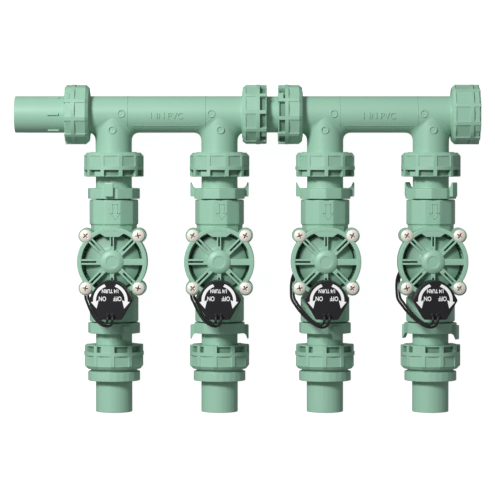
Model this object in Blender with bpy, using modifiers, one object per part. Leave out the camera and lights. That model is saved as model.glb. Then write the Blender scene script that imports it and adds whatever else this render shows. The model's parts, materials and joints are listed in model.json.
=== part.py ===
"""Four-valve irrigation manifold, lying flat with its covers up.

The header runs along X, the valves run from it toward -Y, and the union nuts rest on z = 0.
Lengths are in metres. Positions down a column are distances from the header's own axis.
"""

import math

import bmesh
import bpy
from mathutils import Matrix, Vector

MM = 0.001
GAP = 0.3 * MM

# Frame
AXIS_Z = 27.3 * MM
HEADER_Y = 122.4 * MM
COLUMN_X = [-121.95 * MM, -25.25 * MM, 71.35 * MM, 168.05 * MM]

# Pipe, one-inch nominal
PIPE_R = 16.7 * MM
PIPE_BORE_R = 13.3 * MM
NECK_R = 16.5 * MM
ADAPTER_BORE_R = 12.5 * MM
PIPE_SIDES = 16
OUTLET_R = 16.5 * MM
OUTLET_BORE_R = 13.1 * MM

# Union joint: a male collar and a shouldered neck meet inside a nut
NUT_R = 27.3 * MM
NUT_BASE_R = 25.3 * MM
NUT_LENGTH = 22.0 * MM
NUT_RIBS = 10
RIB_WIDTH = 3.6 * MM
RING_START = 6.2 * MM
RING_WIDTH = 3.4 * MM
LIP = 4.0 * MM
LIP_R = 17.2 * MM
NUT_BORE_R = 22.0 * MM
SHOULDER_R = 20.8 * MM
SHOULDER_LENGTH = 4.9 * MM
COLLAR_R = 21.2 * MM
COLLAR_LENGTH = 13.0 * MM
COLLAR_SHOWS = 0.5 * MM
SHOULDER_FROM_NUT = LIP + GAP
COLLAR_FROM_NUT = SHOULDER_FROM_NUT + SHOULDER_LENGTH + GAP

# Header along X
INLET_END_X = -212.05 * MM
TEE_ENDS_X = [(-156.5 * MM, 8.4 * MM), (37.75 * MM, 199.1 * MM)]
CAP_START_X = 186.6 * MM
CAP_END_X = 212.05 * MM
LUG_COUNT = 6
LUG_SIZE = (2.3 * MM, 2.4 * MM, 10.5 * MM)
LUG_FROM_NUT = 5.5 * MM

# Column: distances from the header axis
UPPER_NUT = 34.8 * MM
UPPER_NUT_END = UPPER_NUT + NUT_LENGTH
NECK_SHOWS = 10.5 * MM
FLANGE_LENGTH = 9.7 * MM
FLANGE_R = 24.2 * MM
FLANGE_SIDES = 10
BODY_GAP = 0.7 * MM
STUB_R = 16.0 * MM
STUB_LENGTH = 13.5 * MM
BODY_LENGTH = 111.8 * MM
BODY_START = UPPER_NUT_END + NECK_SHOWS + FLANGE_LENGTH + BODY_GAP
VALVE_CENTRE = BODY_START + BODY_LENGTH / 2
LOWER_NUT = 2 * VALVE_CENTRE - UPPER_NUT_END
TAIL_END = 272.1 * MM
TAIL_FLANGE_R = 23.9 * MM
TAIL_FLANGE_SIDES = 12
TAIL_COLLAR_LENGTH = 14.8 * MM
TAIL_FLANGE_LENGTH = 8.6 * MM

# Lock ears on an adapter's flange
EAR_WIDTH = 7.6 * MM
EAR_IN_R = 21.0 * MM
EAR_OUT_R = 26.7 * MM
EAR_OVERHANG = 5.5 * MM
EAR_ON_FLANGE = 7.7 * MM

# Turns about each pipe, in degrees from straight up toward +X (toward +Y on the header)
UPPER_NUT_TURN = [16, 15, 1, 5]
LOWER_NUT_TURN = [0, -8, -2, -17]
UPPER_EAR_TURN = [-7, 90, 90, 52]
LOWER_EAR_TURN = [29, 90, 23, 65]
INLET_NUT_TURN = -9.5
COUPLING_NUT_TURNS = [4, -7.5]
CAP_TURN = 17.5

# Valve body, heights above the floor
BODY_END_R = 22.5 * MM
BODY_END_LENGTH = 22.3 * MM
BARREL_R = 19.0 * MM
THREAD_R = 16.4 * MM
THREAD_DEPTH = 15.0 * MM
PASSAGE_R = 11.5 * MM
BOWL_R = 31.9 * MM
BOWL_FOOT_R = 22.0 * MM
BOWL_NECK_R = 27.0 * MM
BOWL_NECK_Z = 34.0 * MM
FLANGE_Z = 43.0 * MM
BODY_TOP_Z = 51.0 * MM
CHAMBER_R = 26.0 * MM
CHAMBER_Z = 37.0 * MM
SEAT_R = 14.0 * MM
SEAT_Z = 40.0 * MM
RISER_R = 5.5 * MM
RISER_Y = 19.5 * MM
BOSS_AT = 23.75 * MM
BOSS_R = 7.4 * MM
BOSS_FOOT_Z = 41.0 * MM
BOWL_SIDES = 20
BOSS_SIDES = 8

# Diaphragm
DIAPHRAGM_R = 25.3 * MM
DIAPHRAGM_BOSS_R = 12.0 * MM
DIAPHRAGM_TOP_Z = 48.0 * MM
DIAPHRAGM_RIM_Z = (41.6 * MM, 44.2 * MM)

# Bonnet
BONNET_Z = BODY_TOP_Z + GAP
BONNET_RING_Z = 64.0 * MM
BONNET_RING_IN_R = 27.7 * MM
BONNET_BOSS_Z = 63.0 * MM
BONNET_FLOOR_Z = (55.8 * MM, 60.5 * MM)
BONNET_ROOF_Z = 54.0 * MM
DOME_R = 11.4 * MM
DOME_Z = 65.8 * MM
SPOKE_WIDTH = 6.4 * MM
SPOKE_BARS = 4

# Solenoid
SOLENOID_Y = -33.0 * MM
SOCKET_R = 13.5 * MM
SOCKET_Z = 66.0 * MM
SOCKET_FLOOR_Z = 56.3 * MM
SOCKET_BORE_R = 9.9 * MM
STEM_R = 9.5 * MM
CAP_R = 20.0 * MM
CAP_TOP_Z = 94.0 * MM
CAP_ROUND_R = CAP_R * math.cos(math.pi / 6)
PLUNGER_R = 4.5 * MM
PLUNGER_BORE_R = 5.0 * MM
PLUNGER_LENGTH = 21.0 * MM
PLUNGER_ROOM = 4.0 * MM

# Leads, in millimetres from the solenoid's axis, with heights above the floor
LEAD_D = 2.0 * MM
LEAD_POINT_SPACING = 6.0 * MM
HUGGING_A = [
    (-2.25, -13.5, 94.3), (-2.3, -14.3, 97.0), (-2.5, -16.9, 98.4), (-2.8, -19.2, 97.2),
    (-3.5, -20.6, 93.5), (-5.4, -21.0, 88.5), (-8.6, -19.9, 83.0), (-12.2, -17.0, 77.5),
    (-15.6, -12.6, 71.5), (-18.3, -7.6, 64.5), (-20.2, -3.9, 56.5), (-21.6, -1.9, 48.0),
    (-22.7, -1.2, 41.0), (-23.3, 1.2, 35.0), (-24.6, 4.6, 28.5), (-25.0, 9.2, 21.0),
    (-24.8, 14.2, 13.3), (-23.6, 19.2, 6.6), (-21.3, 23.6, 2.6), (-18.4, 27.2, 1.2),
    (-15.7, 30.0, 1.15),
]
HUGGING_B = [
    (2.25, -13.5, 94.3), (2.2, -14.3, 97.0), (2.0, -17.2, 98.6), (1.5, -20.0, 97.4),
    (0.4, -22.2, 93.5), (-2.6, -23.6, 88.3), (-7.4, -23.1, 82.2), (-12.4, -20.2, 76.2),
    (-16.7, -15.3, 70.2), (-20.0, -9.9, 63.5), (-22.4, -5.6, 55.5), (-24.0, -3.1, 47.5),
    (-25.1, -1.9, 40.5), (-25.9, 1.0, 34.5), (-27.1, 4.6, 28.3), (-27.5, 9.4, 21.3),
    (-27.2, 14.6, 14.2), (-25.7, 20.0, 8.0), (-22.9, 24.8, 4.4), (-19.4, 28.2, 3.5),
    (-15.9, 30.6, 3.45),
]
LOOSE_A = [
    (-2.25, -13.5, 94.3), (-2.3, -14.3, 97.0), (-2.5, -17.2, 98.6), (-2.9, -20.0, 97.2),
    (-3.9, -21.7, 93.5), (-6.6, -22.4, 88.3), (-11.0, -20.3, 82.2), (-15.7, -16.6, 75.7),
    (-20.1, -12.2, 68.5), (-23.9, -7.6, 60.5), (-26.6, -3.6, 52.0), (-28.0, -1.6, 44.0),
    (-28.7, 1.3, 37.0), (-28.8, 6.0, 30.0), (-28.6, 11.0, 22.5), (-27.8, 16.0, 14.5),
    (-25.8, 20.6, 7.2), (-22.8, 24.4, 2.8), (-19.2, 27.5, 1.2), (-15.7, 30.0, 1.15),
]
LOOSE_B = [
    (2.25, -13.5, 94.3), (2.2, -14.3, 97.0), (2.0, -17.2, 98.6), (1.4, -20.2, 97.2),
    (0.0, -22.6, 93.5), (-3.8, -24.7, 88.0), (-9.8, -23.3, 81.3), (-15.4, -19.6, 74.5),
    (-20.4, -15.2, 67.3), (-24.8, -10.4, 59.3), (-28.0, -6.0, 51.0), (-29.9, -3.4, 43.4),
    (-31.0, -0.3, 36.5), (-31.2, 5.0, 29.7), (-31.0, 10.6, 22.4), (-30.0, 16.2, 15.3),
    (-27.6, 21.2, 9.0), (-24.0, 25.4, 4.9), (-19.8, 28.5, 3.5), (-15.9, 30.6, 3.45),
]
LEAD_ROUTES = [
    (HUGGING_A, HUGGING_B), (HUGGING_A, HUGGING_B), (LOOSE_A, LOOSE_B), (LOOSE_A, LOOSE_B),
]
COIL_IN_R = 8.45 * MM
COIL_OUT_R = 14.55 * MM
COIL_Z = (0.1 * MM, 4.3 * MM)

# Colours
GREEN = (0.27, 0.50, 0.36, 1.0)
PALE_GREEN = (0.33, 0.56, 0.42, 1.0)
BLACK = (0.018, 0.017, 0.018, 1.0)
RUBBER = (0.03, 0.03, 0.03, 1.0)
STEEL = (0.60, 0.60, 0.58, 1.0)


def clear_scene():
    """Remove whatever the file holds."""
    for obj in list(bpy.data.objects):
        bpy.data.objects.remove(obj, do_unlink=True)


def make_collection(name):
    """A collection linked to the scene."""
    collection = bpy.data.collections.new(name)
    bpy.context.scene.collection.children.link(collection)
    return collection


def make_material(name, colour, roughness, metallic=0.0):
    """A Principled material."""
    material = bpy.data.materials.new(name)
    material.use_nodes = True
    shader = material.node_tree.nodes["Principled BSDF"]
    shader.inputs["Base Color"].default_value = colour
    shader.inputs["Roughness"].default_value = roughness
    shader.inputs["Metallic"].default_value = metallic
    return material


def cutter_from(name, mesh):
    """A hidden wire object in the cutters' collection."""
    obj = bpy.data.objects.new(name, mesh)
    CUTTERS.objects.link(obj)
    obj.display_type = "WIRE"
    obj.hide_render = True
    return obj


def along(start, direction, turn=0.0):
    """Matrix that puts local Z along direction and local Y straight up, then turns about it."""
    z_axis = Vector(direction).normalized()
    y_axis = Vector((0, 0, 1)) if abs(z_axis.z) < 0.5 else Vector((0, 1, 0))
    x_axis = y_axis.cross(z_axis)
    basis = Matrix((x_axis, y_axis, z_axis)).transposed().to_4x4()
    return Matrix.Translation(start) @ basis @ Matrix.Rotation(math.radians(turn), 4, "Z")


def rod(name, radius, start, end, sides, turn=0.0):
    """A closed cylinder or prism from start to end."""
    start = Vector(start)
    run = Vector(end) - start
    mesh = bpy.data.meshes.new(name)
    bm = bmesh.new()
    place = along(start, run, turn) @ Matrix.Translation((0, 0, run.length / 2))
    bmesh.ops.create_cone(
        bm, cap_ends=True, segments=sides, radius1=radius, radius2=radius, depth=run.length, matrix=place
    )
    bm.to_mesh(mesh)
    bm.free()
    return cutter_from(name, mesh)


def box(name, size, matrix):
    """A closed box of that size, centred on the matrix."""
    mesh = bpy.data.meshes.new(name)
    bm = bmesh.new()
    bmesh.ops.create_cube(bm, size=1.0, matrix=matrix @ Matrix.Diagonal((*size, 1.0)))
    bm.to_mesh(mesh)
    bm.free()
    return cutter_from(name, mesh)


def turned(name, profile, sides, closed=False):
    """A solid turned about Z from (radius, height) points that run up its outer side."""
    mesh = bpy.data.meshes.new(name)
    downward = [(radius, 0, height) for radius, height in reversed(profile)]
    edges = [(i, i + 1) for i in range(len(downward) - 1)]
    if closed:
        edges.append((len(downward) - 1, 0))
    mesh.from_pydata(downward, edges, [])
    obj = cutter_from(name, mesh)
    screw = obj.modifiers.new("Screw", "SCREW")
    screw.steps = sides
    screw.render_steps = sides
    screw.use_merge_vertices = True
    screw.merge_threshold = 0.1 * MM
    screw.use_smooth_shade = True
    return obj


def outline(name, points, thickness):
    """A flat outline in X and Y, standing from z = 0 to its thickness, as a closed mesh."""
    curve = bpy.data.curves.new(name, "CURVE")
    curve.dimensions = "2D"
    curve.fill_mode = "BOTH"
    curve.extrude = thickness / 2
    spline = curve.splines.new("POLY")
    spline.points.add(len(points) - 1)
    for point, (x, y) in zip(spline.points, points):
        point.co = (x, y, 0, 1)
    spline.use_cyclic_u = True
    holder = bpy.data.objects.new(name, curve)
    CUTTERS.objects.link(holder)
    mesh = evaluated_mesh(holder)
    bpy.data.objects.remove(holder, do_unlink=True)
    bm = bmesh.new()
    bm.from_mesh(mesh)
    bmesh.ops.remove_doubles(bm, verts=bm.verts, dist=0.001 * MM)
    bmesh.ops.translate(bm, verts=bm.verts, vec=(0, 0, thickness / 2))
    bmesh.ops.recalc_face_normals(bm, faces=bm.faces)
    bm.to_mesh(mesh)
    bm.free()
    return cutter_from(name, mesh)


def evaluated_mesh(obj):
    """A plain mesh of the object as the viewport shows it."""
    graph = bpy.context.evaluated_depsgraph_get()
    return bpy.data.meshes.new_from_object(obj.evaluated_get(graph))


def combine(base, added=(), removed=()):
    """Join the added solids to the base, cut the removed ones out, and give the finished mesh."""
    for operation, tools in (("UNION", added), ("DIFFERENCE", removed)):
        for tool in tools:
            boolean = base.modifiers.new(tool.name, "BOOLEAN")
            boolean.operation = operation
            boolean.solver = "EXACT"
            boolean.object = tool
    mesh = evaluated_mesh(base)
    for modifier in list(base.modifiers):
        if modifier.type == "BOOLEAN":
            base.modifiers.remove(modifier)
    return mesh


def tidy_mesh(mesh):
    """Merge the flat faces that a Boolean leaves split."""
    bm = bmesh.new()
    bm.from_mesh(mesh)
    bmesh.ops.remove_doubles(bm, verts=bm.verts, dist=0.01 * MM)
    bmesh.ops.dissolve_limit(bm, angle_limit=math.radians(0.5), verts=bm.verts, edges=bm.edges)
    bm.to_mesh(mesh)
    bm.free()
    return mesh


def place_part(name, mesh, material, matrix=Matrix.Identity(4), parent=None):
    """One named piece, with its own origin and its place under its parent."""
    obj = bpy.data.objects.new(name, mesh)
    PARTS.objects.link(obj)
    if not mesh.materials:
        mesh.materials.append(material)
    obj.parent = parent
    obj.matrix_basis = matrix
    return obj


def place_pivot(name, location):
    """An empty on a joint's axis."""
    pivot = bpy.data.objects.new(name, None)
    PARTS.objects.link(pivot)
    pivot.location = location
    return pivot


def nut_outlines():
    """Seen along the pipe: ten ribs standing on a ten-sided ring, and a band joining the ribs' tops."""
    half_top = math.asin(RIB_WIDTH / 2 / NUT_R)
    half_foot = math.asin(RIB_WIDTH / 2 / NUT_BASE_R)
    ribs = []
    band = []
    for rib in range(NUT_RIBS):
        centre = math.pi / 2 + rib * math.tau / NUT_RIBS
        tops = [(NUT_R * math.cos(centre + a), NUT_R * math.sin(centre + a)) for a in (-half_top, half_top)]
        feet = [
            (NUT_BASE_R * math.cos(centre + a), NUT_BASE_R * math.sin(centre + a)) for a in (-half_foot, half_foot)
        ]
        ribs += [feet[0], *tops, feet[1]]
        band += tops
    return ribs, band


def nut_mesh(name, length, closed_end=False):
    """A ribbed nut along Z: its castellated end is at 0, its collar enters from the other end."""
    rib_points, band_points = nut_outlines()
    ribs = outline(name + "_ribs", rib_points, length)
    ring = outline(name + "_ring", band_points, RING_WIDTH)
    ring.matrix_world = Matrix.Translation((0, 0, RING_START))
    collar_bore = rod(name + "_collar_bore", NUT_BORE_R, (0, 0, LIP), (0, 0, length + MM), PIPE_SIDES)
    cutters = [collar_bore]
    if not closed_end:
        cutters.append(rod(name + "_lip_bore", LIP_R, (0, 0, -MM), (0, 0, length), PIPE_SIDES))
    return tidy_mesh(combine(ribs, [ring], cutters))


def adapter_mesh():
    """A collar along Z: shoulder at 0, neck, ten-sided flange with two ears, then a threaded stub."""
    flange_at = LIP + NECK_SHOWS + SHOULDER_LENGTH + GAP
    stub_at = flange_at + FLANGE_LENGTH
    end = stub_at + STUB_LENGTH
    neck = turned(
        "adapter_neck",
        [(0, 0), (SHOULDER_R, 0), (SHOULDER_R, SHOULDER_LENGTH), (NECK_R, SHOULDER_LENGTH), (NECK_R, stub_at - MM),
         (STUB_R, stub_at - MM), (STUB_R, end), (0, end)],
        PIPE_SIDES,
    )
    half_side = 180 / FLANGE_SIDES
    flange = rod("adapter_flange", FLANGE_R, (0, 0, flange_at), (0, 0, stub_at), FLANGE_SIDES, half_side)
    ears = []
    for side in (1, -1):
        size = (EAR_WIDTH, EAR_OUT_R - EAR_IN_R, EAR_OVERHANG + EAR_ON_FLANGE)
        middle = (0, side * (EAR_OUT_R + EAR_IN_R) / 2, flange_at + (EAR_ON_FLANGE - EAR_OVERHANG) / 2)
        ears.append(box("adapter_ear", size, Matrix.Translation(middle)))
    bore = rod("adapter_bore", ADAPTER_BORE_R, (0, 0, -MM), (0, 0, end + MM), PIPE_SIDES)
    return tidy_mesh(combine(neck, [flange, *ears], [bore]))


def tailpiece_mesh():
    """An outlet spigot along Z: collar at 0, twelve-sided flange, then plain pipe."""
    length = TAIL_END - LOWER_NUT - COLLAR_FROM_NUT
    flange_end = TAIL_COLLAR_LENGTH + TAIL_FLANGE_LENGTH
    pipe = turned(
        "tail_pipe",
        [(0, 0), (COLLAR_R, 0), (COLLAR_R, TAIL_COLLAR_LENGTH + MM), (PIPE_R, TAIL_COLLAR_LENGTH + MM),
         (PIPE_R, length), (0, length)],
        PIPE_SIDES,
    )
    half_side = 180 / TAIL_FLANGE_SIDES
    flange = rod(
        "tail_flange", TAIL_FLANGE_R, (0, 0, TAIL_COLLAR_LENGTH), (0, 0, flange_end), TAIL_FLANGE_SIDES, half_side
    )
    bore = rod("tail_bore", PIPE_BORE_R, (0, 0, -MM), (0, 0, length + MM), PIPE_SIDES)
    return tidy_mesh(combine(pipe, [flange], [bore]))


def inlet_mesh(length):
    """The inlet spigot along Z: shoulder at 0, plain pipe, six small lugs beside the nut."""
    pipe = turned(
        "inlet_pipe",
        [(0, 0), (SHOULDER_R, 0), (SHOULDER_R, SHOULDER_LENGTH), (PIPE_R, SHOULDER_LENGTH), (PIPE_R, length),
         (0, length)],
        PIPE_SIDES,
    )
    lugs = []
    for lug in range(LUG_COUNT):
        turn = Matrix.Rotation(lug * math.tau / LUG_COUNT, 4, "Z")
        middle = (0, PIPE_R, LUG_FROM_NUT + SHOULDER_LENGTH + LIP + LUG_SIZE[2] / 2)
        lugs.append(box("inlet_lug", LUG_SIZE, turn @ Matrix.Translation(middle)))
    bore = rod("inlet_bore", PIPE_BORE_R, (0, 0, -MM), (0, 0, length + MM), PIPE_SIDES)
    return tidy_mesh(combine(pipe, lugs, [bore]))


def nipple_mesh(length):
    """A short neck along Z with a shoulder at each end."""
    inner = length - SHOULDER_LENGTH
    profile = [
        (ADAPTER_BORE_R, 0), (SHOULDER_R, 0), (SHOULDER_R, SHOULDER_LENGTH), (NECK_R, SHOULDER_LENGTH),
        (NECK_R, inner), (SHOULDER_R, inner), (SHOULDER_R, length), (ADAPTER_BORE_R, length),
    ]
    return evaluated_mesh(turned("nipple", profile, PIPE_SIDES, closed=True))


def tee_mesh(name, ends, outlets):
    """A header tube along world X with a collar at each end and on each outlet."""
    low, high = ends
    run = [
        (0, low), (COLLAR_R, low), (COLLAR_R, low + COLLAR_LENGTH), (PIPE_R, low + COLLAR_LENGTH),
        (PIPE_R, high - COLLAR_LENGTH), (COLLAR_R, high - COLLAR_LENGTH), (COLLAR_R, high), (0, high),
    ]
    tube = turned(name + "_run", run, PIPE_SIDES)
    tube.matrix_world = along((0, HEADER_Y, AXIS_Z), (1, 0, 0))
    added = []
    bores = [
        rod(name + "_bore", PIPE_BORE_R, (low - MM, HEADER_Y, AXIS_Z), (high + MM, HEADER_Y, AXIS_Z), PIPE_SIDES)
    ]
    collar_start = UPPER_NUT - COLLAR_SHOWS
    for x in outlets:
        tip_y = HEADER_Y - collar_start - COLLAR_LENGTH
        added.append(rod(name + "_outlet", OUTLET_R, (x, HEADER_Y, AXIS_Z), (x, tip_y + MM, AXIS_Z), PIPE_SIDES))
        added.append(
            rod(name + "_collar", COLLAR_R, (x, HEADER_Y - collar_start, AXIS_Z), (x, tip_y, AXIS_Z), PIPE_SIDES)
        )
        bore_ends = [(x, HEADER_Y, AXIS_Z), (x, tip_y - MM, AXIS_Z)]
        bores.append(rod(name + "_outlet_bore", OUTLET_BORE_R, *bore_ends, PIPE_SIDES))
    mesh = combine(tube, added, bores)
    mesh.transform(tube.matrix_world)
    return tidy_mesh(mesh)


def boss_places():
    """Centres of the four cover screws round the valve's centre."""
    return [(x * BOSS_AT, y * BOSS_AT) for x in (-1, 1) for y in (-1, 1)]


def body_mesh():
    """The valve body about its centre, with its bowl up and its flow toward -Y."""
    half = BODY_LENGTH / 2
    half_side = 180 / FLANGE_SIDES
    bowl = turned(
        "body_bowl",
        [(0, AXIS_Z), (BOWL_FOOT_R, AXIS_Z), (BOWL_NECK_R, BOWL_NECK_Z), (BOWL_R, FLANGE_Z),
         (BOWL_R, BODY_TOP_Z), (0, BODY_TOP_Z)],
        BOWL_SIDES,
    )
    added = [
        rod("body_barrel", BARREL_R, (0, half - MM, AXIS_Z), (0, MM - half, AXIS_Z), PIPE_SIDES),
        rod("body_socket", SOCKET_R, (0, SOLENOID_Y, AXIS_Z), (0, SOLENOID_Y, BODY_TOP_Z), PIPE_SIDES),
    ]
    for side in (1, -1):
        inner = half - BODY_END_LENGTH
        added.append(
            rod("body_end", BODY_END_R, (0, side * inner, AXIS_Z), (0, side * half, AXIS_Z), FLANGE_SIDES, half_side)
        )
    for x, y in boss_places():
        added.append(rod("body_boss", BOSS_R, (x, y, BOSS_FOOT_Z), (x, y, BODY_TOP_Z), BOSS_SIDES))
    wall_y = SEAT_R - 2 * MM
    removed = [
        turned(
            "body_chamber",
            [(0, SEAT_Z), (SEAT_R, SEAT_Z), (SEAT_R, CHAMBER_Z), (CHAMBER_R, CHAMBER_Z),
             (CHAMBER_R, BODY_TOP_Z + MM), (0, BODY_TOP_Z + MM)],
            PIPE_SIDES,
        ),
        rod("body_inlet", THREAD_R, (0, half + MM, AXIS_Z), (0, half - THREAD_DEPTH, AXIS_Z), PIPE_SIDES),
        rod("body_outlet", THREAD_R, (0, -half - MM, AXIS_Z), (0, THREAD_DEPTH - half, AXIS_Z), PIPE_SIDES),
        rod("body_inlet_way", PASSAGE_R, (0, half, AXIS_Z), (0, wall_y + MM, AXIS_Z), PIPE_SIDES),
        rod("body_outlet_way", PASSAGE_R, (0, -half, AXIS_Z), (0, 0, AXIS_Z), PIPE_SIDES),
        rod("body_riser", RISER_R, (0, RISER_Y, AXIS_Z), (0, RISER_Y, CHAMBER_Z + MM), BOSS_SIDES),
        rod("body_seat_hole", SEAT_R - 3 * MM, (0, 0, AXIS_Z), (0, 0, SEAT_Z + MM), PIPE_SIDES),
    ]
    return tidy_mesh(combine(bowl, added, removed))


def diaphragm_mesh():
    """A rubber disc with a thick middle that closes on the seat."""
    low, high = DIAPHRAGM_RIM_Z
    bottom = SEAT_Z + GAP
    profile = [
        (0, bottom), (SEAT_R - MM, bottom), (SEAT_R - MM, low), (DIAPHRAGM_R, low),
        (DIAPHRAGM_R, high), (DIAPHRAGM_BOSS_R, high), (DIAPHRAGM_BOSS_R, DIAPHRAGM_TOP_Z), (0, DIAPHRAGM_TOP_Z),
    ]
    return evaluated_mesh(turned("diaphragm", profile, PIPE_SIDES))


def bonnet_mesh():
    """The spoked round cover about the valve's centre, with its solenoid socket."""
    floor_out, floor_in = BONNET_FLOOR_Z
    cover = turned(
        "bonnet_cover",
        [(0, BONNET_ROOF_Z), (CHAMBER_R - 2 * MM, BONNET_ROOF_Z), (CHAMBER_R, BONNET_Z), (BOWL_R, BONNET_Z),
         (BOWL_R, BONNET_RING_Z), (BONNET_RING_IN_R, BONNET_RING_Z), (BONNET_RING_IN_R, floor_out),
         (DOME_R, floor_in), (DOME_R, DOME_Z - 2 * MM), (DOME_R - 2 * MM, DOME_Z), (0, DOME_Z)],
        BOWL_SIDES,
    )
    added = []
    for bar in range(SPOKE_BARS):
        turn = Matrix.Rotation(bar * math.pi / SPOKE_BARS, 4, "Z")
        size = (SPOKE_WIDTH, 2 * BONNET_RING_IN_R + MM, BONNET_RING_Z - BONNET_ROOF_Z - 1.2 * MM)
        middle = (0, 0, (BONNET_RING_Z + BONNET_ROOF_Z) / 2 + 0.4 * MM)
        added.append(box("bonnet_spoke", size, turn @ Matrix.Translation(middle)))
    for x, y in boss_places():
        added.append(rod("bonnet_boss", BOSS_R, (x, y, BONNET_Z), (x, y, BONNET_BOSS_Z), BOSS_SIDES))
    added.append(rod("bonnet_socket", SOCKET_R, (0, SOLENOID_Y, BONNET_Z), (0, SOLENOID_Y, SOCKET_Z), PIPE_SIDES))
    bore_ends = [(0, SOLENOID_Y, SOCKET_FLOOR_Z), (0, SOLENOID_Y, SOCKET_Z + MM)]
    bore = rod("bonnet_socket_bore", SOCKET_BORE_R, *bore_ends, PIPE_SIDES)
    return tidy_mesh(combine(cover, added, [bore]))


def cap_outline():
    """A hexagon with corners at left and right, whose edge toward the cover is an arc."""
    corners = [math.radians(angle) for angle in (180, 240, 300, 360)]
    points = [(CAP_R * math.cos(a), CAP_R * math.sin(a)) for a in corners]
    steps = 6
    for step in range(steps + 1):
        angle = math.radians(30 + 120 * step / steps)
        points.append((CAP_ROUND_R * math.cos(angle), CAP_ROUND_R * math.sin(angle)))
    return points


def solenoid_mesh():
    """The coil housing about its own axis: a tall hexagonal cap on a threaded stem."""
    foot = SOCKET_Z + GAP
    cap = outline("solenoid_cap", cap_outline(), CAP_TOP_Z - foot)
    cap.matrix_world = Matrix.Translation((0, 0, foot))
    stem_z = SOCKET_FLOOR_Z + GAP
    stem = rod("solenoid_stem", STEM_R, (0, 0, stem_z - foot), (0, 0, MM), PIPE_SIDES)
    room = PLUNGER_LENGTH + PLUNGER_ROOM
    bore = rod("solenoid_bore", PLUNGER_BORE_R, (0, 0, stem_z - foot - MM), (0, 0, stem_z - foot + room), BOSS_SIDES)
    cap.matrix_world = Matrix.Identity(4)
    mesh = combine(cap, [stem], [bore])
    mesh.transform(Matrix.Translation((0, 0, foot)))
    return tidy_mesh(mesh)


def plunger_mesh():
    """The iron plunger about the solenoid's axis, resting on its port."""
    low = SOCKET_FLOOR_Z + GAP
    high = low + PLUNGER_LENGTH
    tip_r = PLUNGER_R / 2
    profile = [
        (0, low), (tip_r, low), (PLUNGER_R, low + tip_r), (PLUNGER_R, high), (0, high),
    ]
    return evaluated_mesh(turned("plunger", profile, BOSS_SIDES))


def coil_mesh():
    """The outer shape of the wound length of both leads, lying under the body."""
    low, high = COIL_Z
    profile = [(COIL_IN_R, low), (COIL_OUT_R, low), (COIL_OUT_R, high), (COIL_IN_R, high)]
    return evaluated_mesh(turned("lead_coil", profile, PIPE_SIDES, closed=True))


def smooth_route(points, spacing):
    """Points about one spacing apart on a smooth curve through the route's own points."""
    knots = [Vector(point) * MM for point in points]
    padded = [2 * knots[0] - knots[1], *knots, 2 * knots[-1] - knots[-2]]
    route = []
    for before, start, end, after in zip(padded, padded[1:], padded[2:], padded[3:]):
        count = max(1, round((end - start).length / spacing))
        for step in range(count):
            t = step / count
            route.append(
                0.5 * (2 * start + (end - before) * t + (2 * before - 5 * start + 4 * end - after) * t**2
                       + (3 * start - before - 3 * end + after) * t**3)
            )
    route.append(knots[-1])
    return route


def make_lead(name, points, solenoid_at, material):
    """A wire as a bevelled curve along its smooth route."""
    curve = bpy.data.curves.new(name, "CURVE")
    curve.dimensions = "3D"
    curve.bevel_depth = LEAD_D / 2
    curve.bevel_resolution = 2
    curve.use_fill_caps = True
    route = smooth_route(points, LEAD_POINT_SPACING)
    spline = curve.splines.new("POLY")
    spline.points.add(len(route) - 1)
    for point, place in zip(spline.points, route):
        point.co = (*place, 1)
    curve.materials.append(material)
    lead = bpy.data.objects.new(name, curve)
    PARTS.objects.link(lead)
    lead.location = (solenoid_at.x, solenoid_at.y, 0)
    return lead


def build_header(green):
    """The inlet, the two tees, their nuts, the nipple and the cap."""
    left, right = TEE_ENDS_X
    line = Vector((0, HEADER_Y, AXIS_Z))
    inlet_nut_x = left[0] - COLLAR_FROM_NUT
    shoulder_x = left[0] - GAP
    inlet = inlet_mesh(shoulder_x - INLET_END_X)
    place_part("inlet_tailpiece", inlet, green, along(line + Vector((shoulder_x, 0, 0)), (-1, 0, 0)))
    nut = nut_mesh("header_nut", NUT_LENGTH)
    place_part("inlet_nut", nut, green, along(line + Vector((inlet_nut_x, 0, 0)), (1, 0, 0), -INLET_NUT_TURN))
    place_part("tee_left", tee_mesh("tee_left", left, COLUMN_X[:2]), green)
    nut_left = line + Vector((left[1] + COLLAR_FROM_NUT, 0, 0))
    nut_right = line + Vector((right[0] - COLLAR_FROM_NUT, 0, 0))
    place_part("coupling_nut_left", nut, green, along(nut_left, (-1, 0, 0), COUPLING_NUT_TURNS[0]))
    nipple = nipple_mesh(right[0] - left[1] - 2 * GAP)
    place_part("coupling_nipple", nipple, green, along(line + Vector((left[1] + GAP, 0, 0)), (1, 0, 0)))
    place_part("coupling_nut_right", nut, green, along(nut_right, (1, 0, 0), -COUPLING_NUT_TURNS[1]))
    place_part("tee_right", tee_mesh("tee_right", right, COLUMN_X[2:]), green)
    cap = nut_mesh("end_cap", CAP_END_X - CAP_START_X, closed_end=True)
    place_part("end_cap", cap, green, along(line + Vector((CAP_END_X, 0, 0)), (-1, 0, 0), CAP_TURN))


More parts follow.
